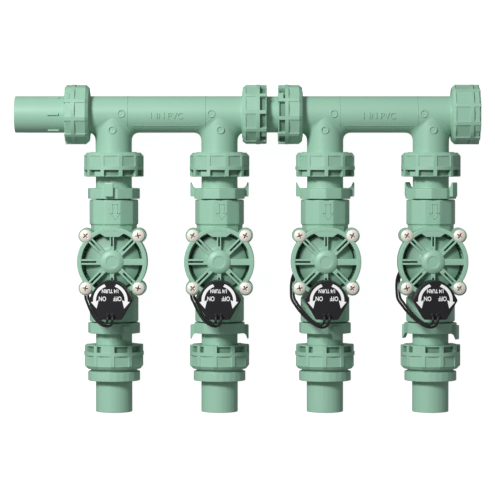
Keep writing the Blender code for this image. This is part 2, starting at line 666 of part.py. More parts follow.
def build_valve(index, meshes, materials):
    """One column: nut, adapter, valve, adapter, nut and tailpiece."""
    name = f"valve_{index + 1}_"
    x = COLUMN_X[index]
    green = materials["green"]
    down = (0, -1, 0)
    up = (0, 1, 0)

    def at(distance):
        return Vector((x, HEADER_Y - distance, AXIS_Z))

    centre = Matrix.Translation((x, HEADER_Y - VALVE_CENTRE, 0))
    solenoid_at = Vector((x, HEADER_Y - VALVE_CENTRE + SOLENOID_Y, 0))
    upper_shoulder = UPPER_NUT_END - SHOULDER_FROM_NUT - SHOULDER_LENGTH
    lower_shoulder = LOWER_NUT + SHOULDER_FROM_NUT + SHOULDER_LENGTH
    place_part(name + "upper_nut", meshes["nut"], green, along(at(UPPER_NUT_END), up, UPPER_NUT_TURN[index]))
    place_part(
        name + "inlet_adapter", meshes["adapter"], green, along(at(upper_shoulder), down, -UPPER_EAR_TURN[index])
    )
    place_part(name + "body", meshes["body"], green, centre)
    place_part(name + "diaphragm", meshes["diaphragm"], materials["rubber"], centre)
    place_part(name + "bonnet", meshes["bonnet"], materials["bonnet"], centre)
    pivot = place_pivot(name + "solenoid_pivot", solenoid_at)
    place_part(name + "solenoid", meshes["solenoid"], materials["black"], parent=pivot)
    place_part(name + "plunger", meshes["plunger"], materials["steel"], parent=pivot)
    for letter, route in zip("ab", LEAD_ROUTES[index]):
        make_lead(name + "lead_" + letter, route, solenoid_at, materials["lead"])
    place_part(name + "lead_coil", meshes["coil"], materials["lead"], centre)
    place_part(
        name + "outlet_adapter", meshes["adapter"], green, along(at(lower_shoulder), up, LOWER_EAR_TURN[index])
    )
    place_part(name + "lower_nut", meshes["nut"], green, along(at(LOWER_NUT), down, -LOWER_NUT_TURN[index]))
    place_part(
        name + "outlet_tailpiece", meshes["tailpiece"], green, along(at(LOWER_NUT + COLLAR_FROM_NUT), down)
    )


def main():
    """Build the header once and the column four times."""
    materials = {
        "green": make_material("green_plastic", GREEN, 0.42),
        "bonnet": make_material("bonnet_plastic", PALE_GREEN, 0.42),
        "black": make_material("black_plastic", BLACK, 0.5),
        "lead": make_material("lead_insulation", BLACK, 0.35),
        "rubber": make_material("rubber", RUBBER, 0.7),
        "steel": make_material("plunger_steel", STEEL, 0.3, 1.0),
    }
    meshes = {
        "nut": nut_mesh("column_nut", NUT_LENGTH),
        "adapter": adapter_mesh(),
        "body": body_mesh(),
        "diaphragm": diaphragm_mesh(),
        "bonnet": bonnet_mesh(),
        "solenoid": solenoid_mesh(),
        "plunger": plunger_mesh(),
        "coil": coil_mesh(),
        "tailpiece": tailpiece_mesh(),
    }
    build_header(materials["green"])
    for index in range(len(COLUMN_X)):
        build_valve(index, meshes, materials)


clear_scene()
PARTS = make_collection("irrigation_valve_manifold")
CUTTERS = make_collection("cutters")
main()
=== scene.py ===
"""Looks of the irrigation valve manifold: detailed pieces, materials and the studio.

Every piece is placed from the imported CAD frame. Lengths are in metres.
"""

import json
import math

import bmesh
import bpy
from bpy.props import FloatProperty, FloatVectorProperty, IntProperty, PointerProperty
from mathutils import Matrix, Vector
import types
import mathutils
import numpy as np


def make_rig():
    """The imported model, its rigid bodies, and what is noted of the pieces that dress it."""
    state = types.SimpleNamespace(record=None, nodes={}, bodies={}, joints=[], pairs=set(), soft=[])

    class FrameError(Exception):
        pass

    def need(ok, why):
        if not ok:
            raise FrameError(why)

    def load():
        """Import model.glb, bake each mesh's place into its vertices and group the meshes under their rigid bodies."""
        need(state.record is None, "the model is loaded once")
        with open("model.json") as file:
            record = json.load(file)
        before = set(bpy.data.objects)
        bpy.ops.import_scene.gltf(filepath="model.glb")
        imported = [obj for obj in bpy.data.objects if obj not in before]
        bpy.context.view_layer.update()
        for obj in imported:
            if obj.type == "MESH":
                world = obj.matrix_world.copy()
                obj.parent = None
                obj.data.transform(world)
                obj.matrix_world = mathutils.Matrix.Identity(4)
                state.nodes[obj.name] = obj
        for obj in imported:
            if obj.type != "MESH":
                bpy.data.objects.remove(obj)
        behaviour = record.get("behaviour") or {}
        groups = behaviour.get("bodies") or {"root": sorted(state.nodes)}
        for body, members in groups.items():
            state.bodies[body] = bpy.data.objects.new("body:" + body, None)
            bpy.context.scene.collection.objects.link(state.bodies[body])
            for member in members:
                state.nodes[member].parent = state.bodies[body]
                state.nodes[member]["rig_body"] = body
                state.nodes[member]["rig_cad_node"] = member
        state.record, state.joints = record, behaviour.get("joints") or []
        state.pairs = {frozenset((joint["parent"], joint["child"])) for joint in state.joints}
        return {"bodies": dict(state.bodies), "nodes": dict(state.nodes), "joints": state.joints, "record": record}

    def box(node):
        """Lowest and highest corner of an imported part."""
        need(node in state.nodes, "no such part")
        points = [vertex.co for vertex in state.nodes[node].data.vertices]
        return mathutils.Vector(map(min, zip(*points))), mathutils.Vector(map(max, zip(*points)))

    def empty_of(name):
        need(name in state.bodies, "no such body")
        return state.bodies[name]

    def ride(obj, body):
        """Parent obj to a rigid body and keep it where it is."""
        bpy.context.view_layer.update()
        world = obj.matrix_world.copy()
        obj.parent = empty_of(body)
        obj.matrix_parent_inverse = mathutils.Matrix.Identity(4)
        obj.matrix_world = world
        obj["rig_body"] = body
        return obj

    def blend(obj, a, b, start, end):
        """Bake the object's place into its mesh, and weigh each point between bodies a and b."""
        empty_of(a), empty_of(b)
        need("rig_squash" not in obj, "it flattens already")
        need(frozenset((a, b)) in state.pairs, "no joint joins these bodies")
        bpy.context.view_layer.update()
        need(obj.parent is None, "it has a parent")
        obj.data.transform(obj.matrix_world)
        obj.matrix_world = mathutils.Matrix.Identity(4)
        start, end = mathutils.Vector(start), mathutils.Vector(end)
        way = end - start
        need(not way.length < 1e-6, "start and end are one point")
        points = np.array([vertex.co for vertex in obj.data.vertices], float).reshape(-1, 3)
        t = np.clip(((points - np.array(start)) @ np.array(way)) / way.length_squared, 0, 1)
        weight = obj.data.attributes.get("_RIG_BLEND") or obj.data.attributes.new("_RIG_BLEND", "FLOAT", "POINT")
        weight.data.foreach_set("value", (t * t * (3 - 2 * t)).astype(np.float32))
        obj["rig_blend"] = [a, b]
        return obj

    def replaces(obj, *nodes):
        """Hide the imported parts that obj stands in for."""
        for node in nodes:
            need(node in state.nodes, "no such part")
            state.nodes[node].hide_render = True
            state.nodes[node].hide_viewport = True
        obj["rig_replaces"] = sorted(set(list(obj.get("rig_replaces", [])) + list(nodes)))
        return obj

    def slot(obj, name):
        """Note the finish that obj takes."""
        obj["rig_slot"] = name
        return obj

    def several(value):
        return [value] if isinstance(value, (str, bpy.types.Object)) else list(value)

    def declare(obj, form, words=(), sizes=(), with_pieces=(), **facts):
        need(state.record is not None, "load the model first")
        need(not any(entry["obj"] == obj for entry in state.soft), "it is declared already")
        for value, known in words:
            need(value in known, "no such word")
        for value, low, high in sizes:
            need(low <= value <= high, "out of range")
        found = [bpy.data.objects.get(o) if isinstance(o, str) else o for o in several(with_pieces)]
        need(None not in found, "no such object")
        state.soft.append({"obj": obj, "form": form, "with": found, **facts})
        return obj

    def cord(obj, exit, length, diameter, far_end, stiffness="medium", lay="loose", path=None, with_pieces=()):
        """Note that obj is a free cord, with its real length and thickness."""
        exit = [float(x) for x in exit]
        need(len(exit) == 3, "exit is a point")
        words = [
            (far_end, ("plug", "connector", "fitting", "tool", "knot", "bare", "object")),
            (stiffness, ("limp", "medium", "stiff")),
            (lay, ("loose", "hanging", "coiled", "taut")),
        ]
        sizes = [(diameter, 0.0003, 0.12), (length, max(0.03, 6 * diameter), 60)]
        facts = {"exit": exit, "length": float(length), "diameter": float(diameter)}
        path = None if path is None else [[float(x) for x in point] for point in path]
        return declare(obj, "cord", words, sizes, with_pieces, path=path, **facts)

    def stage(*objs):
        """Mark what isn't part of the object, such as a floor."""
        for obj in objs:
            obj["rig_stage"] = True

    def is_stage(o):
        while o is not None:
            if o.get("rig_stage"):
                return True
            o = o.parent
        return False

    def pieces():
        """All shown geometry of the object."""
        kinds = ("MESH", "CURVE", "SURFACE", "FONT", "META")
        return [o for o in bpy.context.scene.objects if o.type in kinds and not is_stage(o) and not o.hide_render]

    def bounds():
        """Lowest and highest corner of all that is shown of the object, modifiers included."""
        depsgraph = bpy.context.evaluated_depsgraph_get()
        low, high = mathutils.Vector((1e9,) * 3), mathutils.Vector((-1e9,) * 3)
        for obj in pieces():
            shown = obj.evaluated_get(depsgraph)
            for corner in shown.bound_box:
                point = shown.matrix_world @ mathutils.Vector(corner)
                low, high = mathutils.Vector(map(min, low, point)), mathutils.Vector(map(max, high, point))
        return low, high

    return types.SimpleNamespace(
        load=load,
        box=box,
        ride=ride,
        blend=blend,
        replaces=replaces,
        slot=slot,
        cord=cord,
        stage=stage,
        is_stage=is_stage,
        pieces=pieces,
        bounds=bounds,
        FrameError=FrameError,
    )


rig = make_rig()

bl_info = {
    "name": "Irrigation valve manifold",
    "version": (1, 0, 0),
    "blender": (4, 5, 0),
    "location": "3D View > Sidebar > Manifold",
    "description": "Builds the pieces, materials and studio of an irrigation valve manifold",
    "category": "Add Mesh",
}

MM = 0.001
VALVES = (1, 2, 3, 4)
ROOT = "manifold"

# Turns of each piece about its pipe, in degrees from straight up, as the CAD has them
UPPER_NUT_TURN = [16, 15, 1, 5]
LOWER_NUT_TURN = [0, -8, -2, -17]
UPPER_EAR_TURN = [-7, 90, 90, 52]
LOWER_EAR_TURN = [29, 90, 23, 65]
INLET_NUT_TURN = -9.5
COUPLING_NUT_TURNS = [4, -7.5]
CAP_TURN = 17.5

# Filled parts of a nut's cells: side of their rib, rib, width, and whether a slot parts them from the ring
LEFT_BLOCKS = (-1, 4, 6.6 * MM, True)
RIGHT_BLOCKS = (1, 0, 9.5 * MM, False)

# Raised circles on each tee outlet: place across toward the other outlet, and down from the header's axis
TEE_MARKS = [(7.4 * MM, -0.6 * MM), (-0.8 * MM, 14.2 * MM)]
TEE_SEAM = 12.9 * MM

# Union joint, as the CAD has it
SHOULDER_LENGTH = 4.9 * MM
COLLAR_LENGTH = 13.0 * MM
TAIL_COLLAR_LENGTH = 14.8 * MM
TAIL_FLANGE_LENGTH = 8.6 * MM
TAIL_FLANGE_RADIUS = 23.9 * MM
STUB_RADIUS = 16.0 * MM
STUB_LENGTH = 13.5 * MM

# Flats round a tailpiece's flange, where the CAD has twelve
TAIL_FLANGE_SIDES = 24

# Lugs on the inlet spigot
LUG_COUNT = 6
LUG_SIZE = (2.3 * MM, 2.4 * MM, 10.5 * MM)
LUG_FROM_SHOULDER = 9.5 * MM

# Band round each valve's coiled leads
TIE_AT = 11.45 * MM
TIE_WIDTH = 2.6 * MM

# Lead routes in millimetres from the solenoid's axis, with heights above the floor
HUGGING_A = [
    (-2.25, -13.5, 94.3), (-2.3, -14.3, 97.0), (-2.5, -16.9, 98.4), (-2.8, -19.2, 97.2),
    (-3.5, -20.6, 93.5), (-5.4, -21.0, 88.5), (-8.6, -19.9, 83.0), (-12.2, -17.0, 77.5),
    (-15.6, -12.6, 71.5), (-18.3, -7.6, 64.5), (-20.2, -3.9, 56.5), (-21.6, -1.9, 48.0),
    (-22.7, -1.2, 41.0), (-23.3, 1.2, 35.0), (-24.6, 4.6, 28.5), (-25.0, 9.2, 21.0),
    (-24.8, 14.2, 13.3), (-23.6, 19.2, 6.6), (-21.3, 23.6, 2.6), (-18.4, 27.2, 1.2),
    (-15.7, 30.0, 1.15),
]
HUGGING_B = [
    (2.25, -13.5, 94.3), (2.2, -14.3, 97.0), (2.0, -17.2, 98.6), (1.5, -20.0, 97.4),
    (0.4, -22.2, 93.5), (-2.6, -23.6, 88.3), (-7.4, -23.1, 82.2), (-12.4, -20.2, 76.2),
    (-16.7, -15.3, 70.2), (-20.0, -9.9, 63.5), (-22.4, -5.6, 55.5), (-24.0, -3.1, 47.5),
    (-25.1, -1.9, 40.5), (-25.9, 1.0, 34.5), (-27.1, 4.6, 28.3), (-27.5, 9.4, 21.3),
    (-27.2, 14.6, 14.2), (-25.7, 20.0, 8.0), (-22.9, 24.8, 4.4), (-19.4, 28.2, 3.5),
    (-15.9, 30.6, 3.45),
]
LOOSE_A = [
    (-2.25, -13.5, 94.3), (-2.3, -14.3, 97.0), (-2.5, -17.2, 98.6), (-2.9, -20.0, 97.2),
    (-3.9, -21.7, 93.5), (-6.6, -22.4, 88.3), (-11.0, -20.3, 82.2), (-15.7, -16.6, 75.7),
    (-20.1, -12.2, 68.5), (-23.9, -7.6, 60.5), (-26.6, -3.6, 52.0), (-28.0, -1.6, 44.0),
    (-28.7, 1.3, 37.0), (-28.8, 6.0, 30.0), (-28.6, 11.0, 22.5), (-27.8, 16.0, 14.5),
    (-25.8, 20.6, 7.2), (-22.8, 24.4, 2.8), (-19.2, 27.5, 1.2), (-15.7, 30.0, 1.15),
]
LOOSE_B = [
    (2.25, -13.5, 94.3), (2.2, -14.3, 97.0), (2.0, -17.2, 98.6), (1.4, -20.2, 97.2),
    (0.0, -22.6, 93.5), (-3.8, -24.7, 88.0), (-9.8, -23.3, 81.3), (-15.4, -19.6, 74.5),
    (-20.4, -15.2, 67.3), (-24.8, -10.4, 59.3), (-28.0, -6.0, 51.0), (-29.9, -3.4, 43.4),
    (-31.0, -0.3, 36.5), (-31.2, 5.0, 29.7), (-31.0, 10.6, 22.4), (-30.0, 16.2, 15.3),
    (-27.6, 21.2, 9.0), (-24.0, 25.4, 4.9), (-19.8, 28.5, 3.5), (-15.9, 30.6, 3.45),
]
LEAD_ROUTES = [(HUGGING_A, HUGGING_B), (HUGGING_A, HUGGING_B), (LOOSE_A, LOOSE_B), (LOOSE_A, LOOSE_B)]


# ---------------------------------------------------------------- places read from the frame


def middle(node):
    """The centre of a CAD node's box."""
    low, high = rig.box(node)
    return (Vector(low) + Vector(high)) / 2


def header_line():
    """A point on the header's axis at x = 0."""
    centre = middle("coupling_nipple")
    return Vector((0.0, centre.y, centre.z))


def valve_centre(number):
    """The point on the floor under a valve's centre."""
    centre = middle(f"valve_{number}_diaphragm")
    return Vector((centre.x, centre.y, 0.0))


def solenoid_foot(number):
    """The point on the floor under a solenoid's axis."""
    low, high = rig.box(f"valve_{number}_plunger")
    return Vector(((low[0] + high[0]) / 2, (low[1] + high[1]) / 2, 0.0))


def along(start, direction, turn=0.0):
    """Matrix that puts local Z along direction and local Y straight up, then turns about it."""
    z_axis = Vector(direction).normalized()
    y_axis = Vector((0, 0, 1)) if abs(z_axis.z) < 0.5 else Vector((0, 1, 0))
    x_axis = y_axis.cross(z_axis)
    basis = Matrix((x_axis, y_axis, z_axis)).transposed().to_4x4()
    return Matrix.Translation(start) @ basis @ Matrix.Rotation(math.radians(turn), 4, "Z")


# ---------------------------------------------------------------- mesh building


def even_angles(count):
    """Angles spread evenly round a full turn."""
    return [math.tau * i / count for i in range(count)]


def polygon_angles(sides, between=3, corner=1.3):
    """Angles for a polygonal collar: two close to each corner and a few across each side."""
    angles = []
    side = math.tau / sides
    edge = math.radians(corner)
    for i in range(sides):
        start = i * side + edge
        step = (side - 2 * edge) / (between + 1)
        angles += [start + step * k for k in range(between + 2)]
    return angles


def polygon_radius(sides):
    """How far a polygon reaches at an angle, as a part of its corner radius. One corner is at angle 0."""
    side = math.tau / sides

    def reach(angle):
        return math.cos(side / 2) / math.cos(angle % side - side / 2)

    return reach


def corner_points(before, corner, after, radius, steps):
    """Points of a rounded corner in a profile of (radius, height, style)."""
    corner_at = Vector(corner[:2])
    to_before = Vector(before[:2]) - corner_at
    to_after = Vector(after[:2]) - corner_at
    reach = min(radius, 0.45 * to_before.length, 0.45 * to_after.length)
    start = corner_at + to_before.normalized() * reach
    end = corner_at + to_after.normalized() * reach
    points = []
    for step in range(steps + 1):
        t = step / steps
        place = start * (1 - t) ** 2 + corner_at * 2 * t * (1 - t) + end * t**2
        points.append((place.x, place.y, corner[2]))
    return points


def rounded(profile, radius=0.5 * MM, steps=3, closed=True):
    """A profile with rounded corners. A point is (radius, height), then its style and its own rounding."""
    full = [(*p, 0.0, None)[:4] if len(p) == 2 else (*p, None)[:4] for p in profile]
    count = len(full)
    result = []
    for i, point in enumerate(full):
        own = radius if point[3] is None else point[3]
        at_end = not closed and i in (0, count - 1)
        if at_end or own == 0:
            result.append(point[:3])
        else:
            result += corner_points(full[i - 1], point, full[(i + 1) % count], own, steps)
    return result


def lettering(words, size, thickness, swell=0.0):
    """The mesh of some words round the origin, reading along X."""
    text = bpy.data.curves.new(words, "FONT")
    text.body = words
    text.size = size
    text.align_x = "CENTER"
    text.align_y = "CENTER"
    text.offset = swell
    text.extrude = thickness
    holder = bpy.data.objects.new("holder", text)
    bpy.context.scene.collection.objects.link(holder)
    graph = bpy.context.evaluated_depsgraph_get()
    mesh = bpy.data.meshes.new_from_object(holder.evaluated_get(graph))
    bpy.data.objects.remove(holder, do_unlink=True)
    return mesh


def show(mesh, name, material):
    """An object for a mesh, in one material."""
    mesh.materials.clear()
    mesh.materials.append(material)
    obj = bpy.data.objects.new(name, mesh)
    bpy.context.scene.collection.objects.link(obj)
    return obj


def round_point(radius, angle, height):
    """A point by its radius, its angle and its height."""
    return Vector((radius * math.cos(angle), radius * math.sin(angle), height))


def revolve(bm, profile, angles, reach=None, matrix=Matrix.Identity(4), closed=True):
    """Turn a profile of (radius, height, style) about Z. Style 1 follows the polygon, 0 is round."""
    rings = []
    for radius, height, style in profile:
        if radius < 1e-7:
            rings.append([bm.verts.new(matrix @ Vector((0, 0, height)))])
            continue
        ring = []
        for angle in angles:
            scale = 1.0 + style * (reach(angle) - 1.0) if reach and style else 1.0
            place = round_point(radius * scale, angle, height)
            ring.append(bm.verts.new(matrix @ place))
        rings.append(ring)
    join_rings(bm, rings, closed)


def join_rings(bm, rings, closed):
    """Faces between neighbouring rings; a ring of one vertex is a pole."""
    count = len(rings)
    for i in range(count if closed else count - 1):
        low, high = rings[i], rings[(i + 1) % count]
        columns = max(len(low), len(high))
        for j in range(columns):
            k = (j + 1) % columns
            if len(low) == 1 and len(high) == 1:
                continue
            if len(low) == 1:
                bm.faces.new((low[0], high[k], high[j]))
            elif len(high) == 1:
                bm.faces.new((low[j], low[k], high[0]))
            else:
                bm.faces.new((low[j], low[k], high[k], high[j]))


def prism(bm, outline, bottom, top, matrix=Matrix.Identity(4), bevel=0.0, segments=2):
    """A flat outline of (x, y) raised from bottom to top, with its edges bevelled."""
    low = [bm.verts.new(matrix @ Vector((x, y, bottom))) for x, y in outline]
    high = [bm.verts.new(matrix @ Vector((x, y, top))) for x, y in outline]
    count = len(outline)
    faces = [bm.faces.new(low[::-1]), bm.faces.new(high)]
    for i in range(count):
        k = (i + 1) % count
        faces.append(bm.faces.new((low[i], low[k], high[k], high[i])))
    if bevel:
        edges = list({edge for face in faces for edge in face.edges})
        bmesh.ops.bevel(
            bm, geom=edges, offset=bevel, segments=segments, affect="EDGES", profile=0.5, clamp_overlap=True
        )


def block(bm, size, matrix, bevel=0.0):
    """A box of that size centred on the matrix, with its edges bevelled."""
    x, y, z = (s / 2 for s in size)
    prism(bm, [(-x, -y), (x, -y), (x, y), (-x, y)], -z, z, matrix, bevel)


def arc(radius, start, end, steps, centre=(0.0, 0.0)):
    """Points along an arc, with angles in degrees."""
    points = []
    for step in range(steps + 1):
        angle = math.radians(start + (end - start) * step / steps)
        points.append((centre[0] + radius * math.cos(angle), centre[1] + radius * math.sin(angle)))
    return points


def finished(bm, name, material, sharp=32.0):
    """Make the mesh an object with smooth, weighted shading."""
    bmesh.ops.recalc_face_normals(bm, faces=bm.faces)
    mesh = bpy.data.meshes.new(name)
    bm.to_mesh(mesh)
    bm.free()
    mesh.shade_smooth()
    mesh.set_sharp_from_angle(angle=math.radians(sharp))
    obj = bpy.data.objects.new(name, mesh)
    bpy.context.scene.collection.objects.link(obj)
    mesh.materials.append(material)
    weighted = obj.modifiers.new("Weighted normals", "WEIGHTED_NORMAL")
    weighted.keep_sharp = True
    return obj


def shade_recesses(obj, painted_shade_of):
    """Store painted shade for each point, from 0 to 1, as the recess attribute, which the material multiplies in to
    darken hollows.
    """
    mesh = obj.data
    attribute = mesh.attributes.new("recess", "FLOAT", "POINT")
    for vertex, item in zip(mesh.vertices, attribute.data):
        item.value = min(max(painted_shade_of(vertex.co), 0.0), 1.0)
    return obj


def plain_mesh(obj):
    """Replace an object's mesh with what its modifiers make of it."""
    graph = bpy.context.evaluated_depsgraph_get()
    mesh = bpy.data.meshes.new_from_object(obj.evaluated_get(graph))
    obj.modifiers.clear()
    obj.data = mesh
    return obj


def cut(obj, cutter_bm):
    """Take the cutter away from the object."""
    mesh = bpy.data.meshes.new("cutter")
    cutter_bm.to_mesh(mesh)
    cutter_bm.free()
    cutter = bpy.data.objects.new("cutter", mesh)
    bpy.context.scene.collection.objects.link(cutter)
    boolean = obj.modifiers.new("Cut", "BOOLEAN")
    boolean.operation = "DIFFERENCE"
    boolean.solver = "EXACT"
    boolean.object = cutter
    plain_mesh(obj)
    bpy.data.objects.remove(cutter, do_unlink=True)
    obj.data.set_sharp_from_angle(angle=math.radians(32))
    weighted = obj.modifiers.new("Weighted normals", "WEIGHTED_NORMAL")
    weighted.keep_sharp = True
    return obj


def declare(obj, body, slot, *nodes):
    """The piece rides a body, takes a slot's finish and stands for CAD nodes."""
    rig.ride(obj, body)
    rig.slot(obj, slot)
    if nodes:
        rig.replaces(obj, *nodes)
    return obj


# ---------------------------------------------------------------- materials


def new_group(name, inputs, outputs):
    """An empty shader group with its sockets."""
    tree = bpy.data.node_groups.new(name, "ShaderNodeTree")
    for label, kind, value in inputs:
        socket = tree.interface.new_socket(name=label, in_out="INPUT", socket_type=kind)
        socket.default_value = value
    for label, kind in outputs:
        tree.interface.new_socket(name=label, in_out="OUTPUT", socket_type=kind)
    tree.nodes.new("NodeGroupInput")
    tree.nodes.new("NodeGroupOutput")
    return tree


def moulding_group():
    """Shared look of moulded plastic: a soft mottle in the colour, painted shade in hollows read from the recess
    attribute, a faint grain and rounded edges.
    """
    name = "Moulded surface"
    if name in bpy.data.node_groups:
        return bpy.data.node_groups[name]
    tree = new_group(
        name,
        [
            ("Colour", "NodeSocketColor", (0.3, 0.5, 0.4, 1.0)),
            ("Mottle", "NodeSocketFloat", 0.04),
            ("Grain", "NodeSocketFloat", 0.03),
            ("Edge", "NodeSocketFloat", 0.0004),
        ],
        [("Colour", "NodeSocketColor"), ("Roughness", "NodeSocketFloat"), ("Normal", "NodeSocketVector")],
    )
    nodes, links = tree.nodes, tree.links
    given, out = nodes["Group Input"], nodes["Group Output"]
    place = nodes.new("ShaderNodeTexCoord")
    cloud = nodes.new("ShaderNodeTexNoise")
    cloud.inputs["Scale"].default_value = 55.0
    cloud.inputs["Detail"].default_value = 2.0
    links.new(place.outputs["Object"], cloud.inputs["Vector"])
    spread = nodes.new("ShaderNodeMath")
    spread.operation = "MULTIPLY_ADD"
    spread.inputs[2].default_value = 1.0
    centred = nodes.new("ShaderNodeMath")
    centred.operation = "SUBTRACT"
    centred.inputs[1].default_value = 0.5
    links.new(cloud.outputs["Fac"], centred.inputs[0])
    links.new(centred.outputs[0], spread.inputs[0])
    links.new(given.outputs["Mottle"], spread.inputs[1])
    tint = nodes.new("ShaderNodeHueSaturation")
    links.new(given.outputs["Colour"], tint.inputs["Color"])
    links.new(spread.outputs[0], tint.inputs["Value"])
    # Painted shade: the recess attribute multiplies a dark green into the colour, darkening hollows where light falls
    # short.
    recess = nodes.new("ShaderNodeAttribute")
    recess.attribute_name = "recess"
    shade = nodes.new("ShaderNodeMix")
    shade.data_type = "RGBA"
    shade.blend_type = "MULTIPLY"
    colours = [socket for socket in shade.inputs if socket.type == "RGBA"]
    # The dark green of the painted shade.
    colours[1].default_value = (0.07, 0.19, 0.125, 1.0)
    links.new(recess.outputs["Fac"], shade.inputs["Factor"])
    links.new(tint.outputs["Color"], colours[0])
    shaded = next(socket for socket in shade.outputs if socket.type == "RGBA")
    links.new(shaded, out.inputs["Colour"])
    fine = nodes.new("ShaderNodeTexNoise")
    fine.inputs["Scale"].default_value = 900.0
    fine.inputs["Detail"].default_value = 3.0
    links.new(place.outputs["Object"], fine.inputs["Vector"])
    rough = nodes.new("ShaderNodeMapRange")
    rough.inputs["To Min"].default_value = 0.38
    rough.inputs["To Max"].default_value = 0.50
    links.new(cloud.outputs["Fac"], rough.inputs["Value"])
    links.new(rough.outputs["Result"], out.inputs["Roughness"])
    edge = nodes.new("ShaderNodeBevel")
    edge.samples = 4
    links.new(given.outputs["Edge"], edge.inputs["Radius"])
    bump = nodes.new("ShaderNodeBump")
    bump.inputs["Distance"].default_value = 0.0002
    links.new(given.outputs["Grain"], bump.inputs["Strength"])
    links.new(fine.outputs["Fac"], bump.inputs["Height"])
    links.new(edge.outputs["Normal"], bump.inputs["Normal"])
    links.new(bump.outputs["Normal"], out.inputs["Normal"])
    return tree


def plastic(name, colour, mottle=0.04, grain=0.03, edge=0.0004, specular=0.5):
    """A moulded plastic, made the first time it is asked for."""
    if name in bpy.data.materials:
        return bpy.data.materials[name]
    material = bpy.data.materials.new(name)
    material.use_nodes = True
    nodes, links = material.node_tree.nodes, material.node_tree.links
    shader = nodes["Principled BSDF"]
    shader.inputs["Specular IOR Level"].default_value = specular
    surface = nodes.new("ShaderNodeGroup")
    surface.node_tree = moulding_group()
    surface.inputs["Colour"].default_value = (*colour, 1.0)
    surface.inputs["Mottle"].default_value = mottle
    surface.inputs["Grain"].default_value = grain
    surface.inputs["Edge"].default_value = edge
    links.new(surface.outputs["Colour"], shader.inputs["Base Color"])
    links.new(surface.outputs["Roughness"], shader.inputs["Roughness"])
    links.new(surface.outputs["Normal"], shader.inputs["Normal"])
    return material


def simple(name, colour, roughness, metallic=0.0):
    """A plain material, made the first time it is asked for."""
    if name in bpy.data.materials:
        return bpy.data.materials[name]
    material = bpy.data.materials.new(name)
    material.use_nodes = True
    shader = material.node_tree.nodes["Principled BSDF"]
    shader.inputs["Base Color"].default_value = (*colour, 1.0)
    shader.inputs["Roughness"].default_value = roughness
    shader.inputs["Metallic"].default_value = metallic
    return material


def green():
    """The sage-green plastic of pipes, nuts and bodies."""
    colour = bpy.context.scene.manifold_look.green
    return plastic("Green plastic", colour)


def black():
    """The black plastic of the solenoids."""
    colour = bpy.context.scene.manifold_look.black
    return plastic("Black plastic", colour, 0.1, 0.08, 0.0004, 0.3)


def screw_metal():
    """Bright zinc of the cover screws."""
    return simple("Screw zinc", (0.84, 0.79, 0.70), 0.34, 0.15)


def screw_recess_painted_shade():
    """Painted shade on the walls of a screw's cross recess: a dull dark colour in place of the zinc."""
    return simple("Screw recess", (0.30, 0.23, 0.21), 0.6)


def print_white():
    """The white print on the solenoids."""
    return simple("White print", (0.86, 0.86, 0.87), 0.5)


def insulation():
    """The black sleeve of the leads."""
    return simple("Lead insulation", (0.010, 0.010, 0.011), 0.5)


def copper():
    """Bare wire at the leads' ends."""
    return simple("Bare copper", (0.75, 0.36, 0.18), 0.3, 1.0)


def rubber():
    """The black rubber of seals and diaphragms."""
    return simple("Rubber", (0.025, 0.025, 0.026), 0.65)


def steel():
    """Turned stainless steel."""
    return simple("Stainless steel", (0.62, 0.61, 0.59), 0.28, 1.0)


# ---------------------------------------------------------------- settings


def length_setting(name, description, millimetres):
    """A length among the settings, given in millimetres."""
    return FloatProperty(name=name, description=description, unit="LENGTH", default=millimetres * MM)


def colour_setting(name, description, colour):
    """A colour among the settings."""
    return FloatVectorProperty(name=name, description=description, subtype="COLOR", size=3, default=colour)


class ManifoldLook(bpy.types.PropertyGroup):
    """Colours shared by the pieces."""

    green: colour_setting("Green", "Colour of the green plastic", (0.28, 0.495, 0.37))
    black: colour_setting("Black", "Colour of the solenoids", (0.011, 0.011, 0.013))


class NutSettings(bpy.types.PropertyGroup):
    """Sizes of a ribbed union nut."""

    radius: length_setting("Radius", "Over the ribs", 27.3)
    length: length_setting("Length", "Along the pipe", 22.0)
    ribs: IntProperty(name="Ribs", description="Ribs round the nut", default=10)
    rib_width: length_setting("Rib width", "Across a rib's top", 3.3)
    panel_radius: length_setting("Panel radius", "At a panel's middle", 25.9)
    cell_radius: length_setting("Cell radius", "At the bottom of a cell", 23.3)
    ring_start: length_setting("Ring start", "From the cells' end", 6.3)
    ring_width: length_setting("Ring width", "Along the pipe", 3.2)
    lip_radius: length_setting("Lip radius", "Round the neck", 17.2)
    bore_radius: length_setting("Bore radius", "Round the collar", 21.9)


class PipeSettings(bpy.types.PropertyGroup):
    """Sizes of the pipes and collars."""

    radius: length_setting("Radius", "Outside of the pipe", 16.7)
    bore: length_setting("Bore", "Inside of the pipe", 13.3)
    neck: length_setting("Neck", "Outside of an adapter's neck", 16.5)
    adapter_bore: length_setting("Adapter bore", "Inside of an adapter", 12.5)
    shoulder: length_setting("Shoulder", "Radius inside a nut", 20.8)
    collar: length_setting("Collar", "Radius of a male collar", 21.2)
    flange: length_setting("Flange", "Corner radius of an adapter's flange", 24.2)
    flange_length: length_setting("Flange length", "Along the pipe", 9.7)
    fillet: length_setting("Fillet", "Where an outlet leaves the header", 7.5)
    sides: IntProperty(name="Sides", description="Faces round a pipe", default=96)


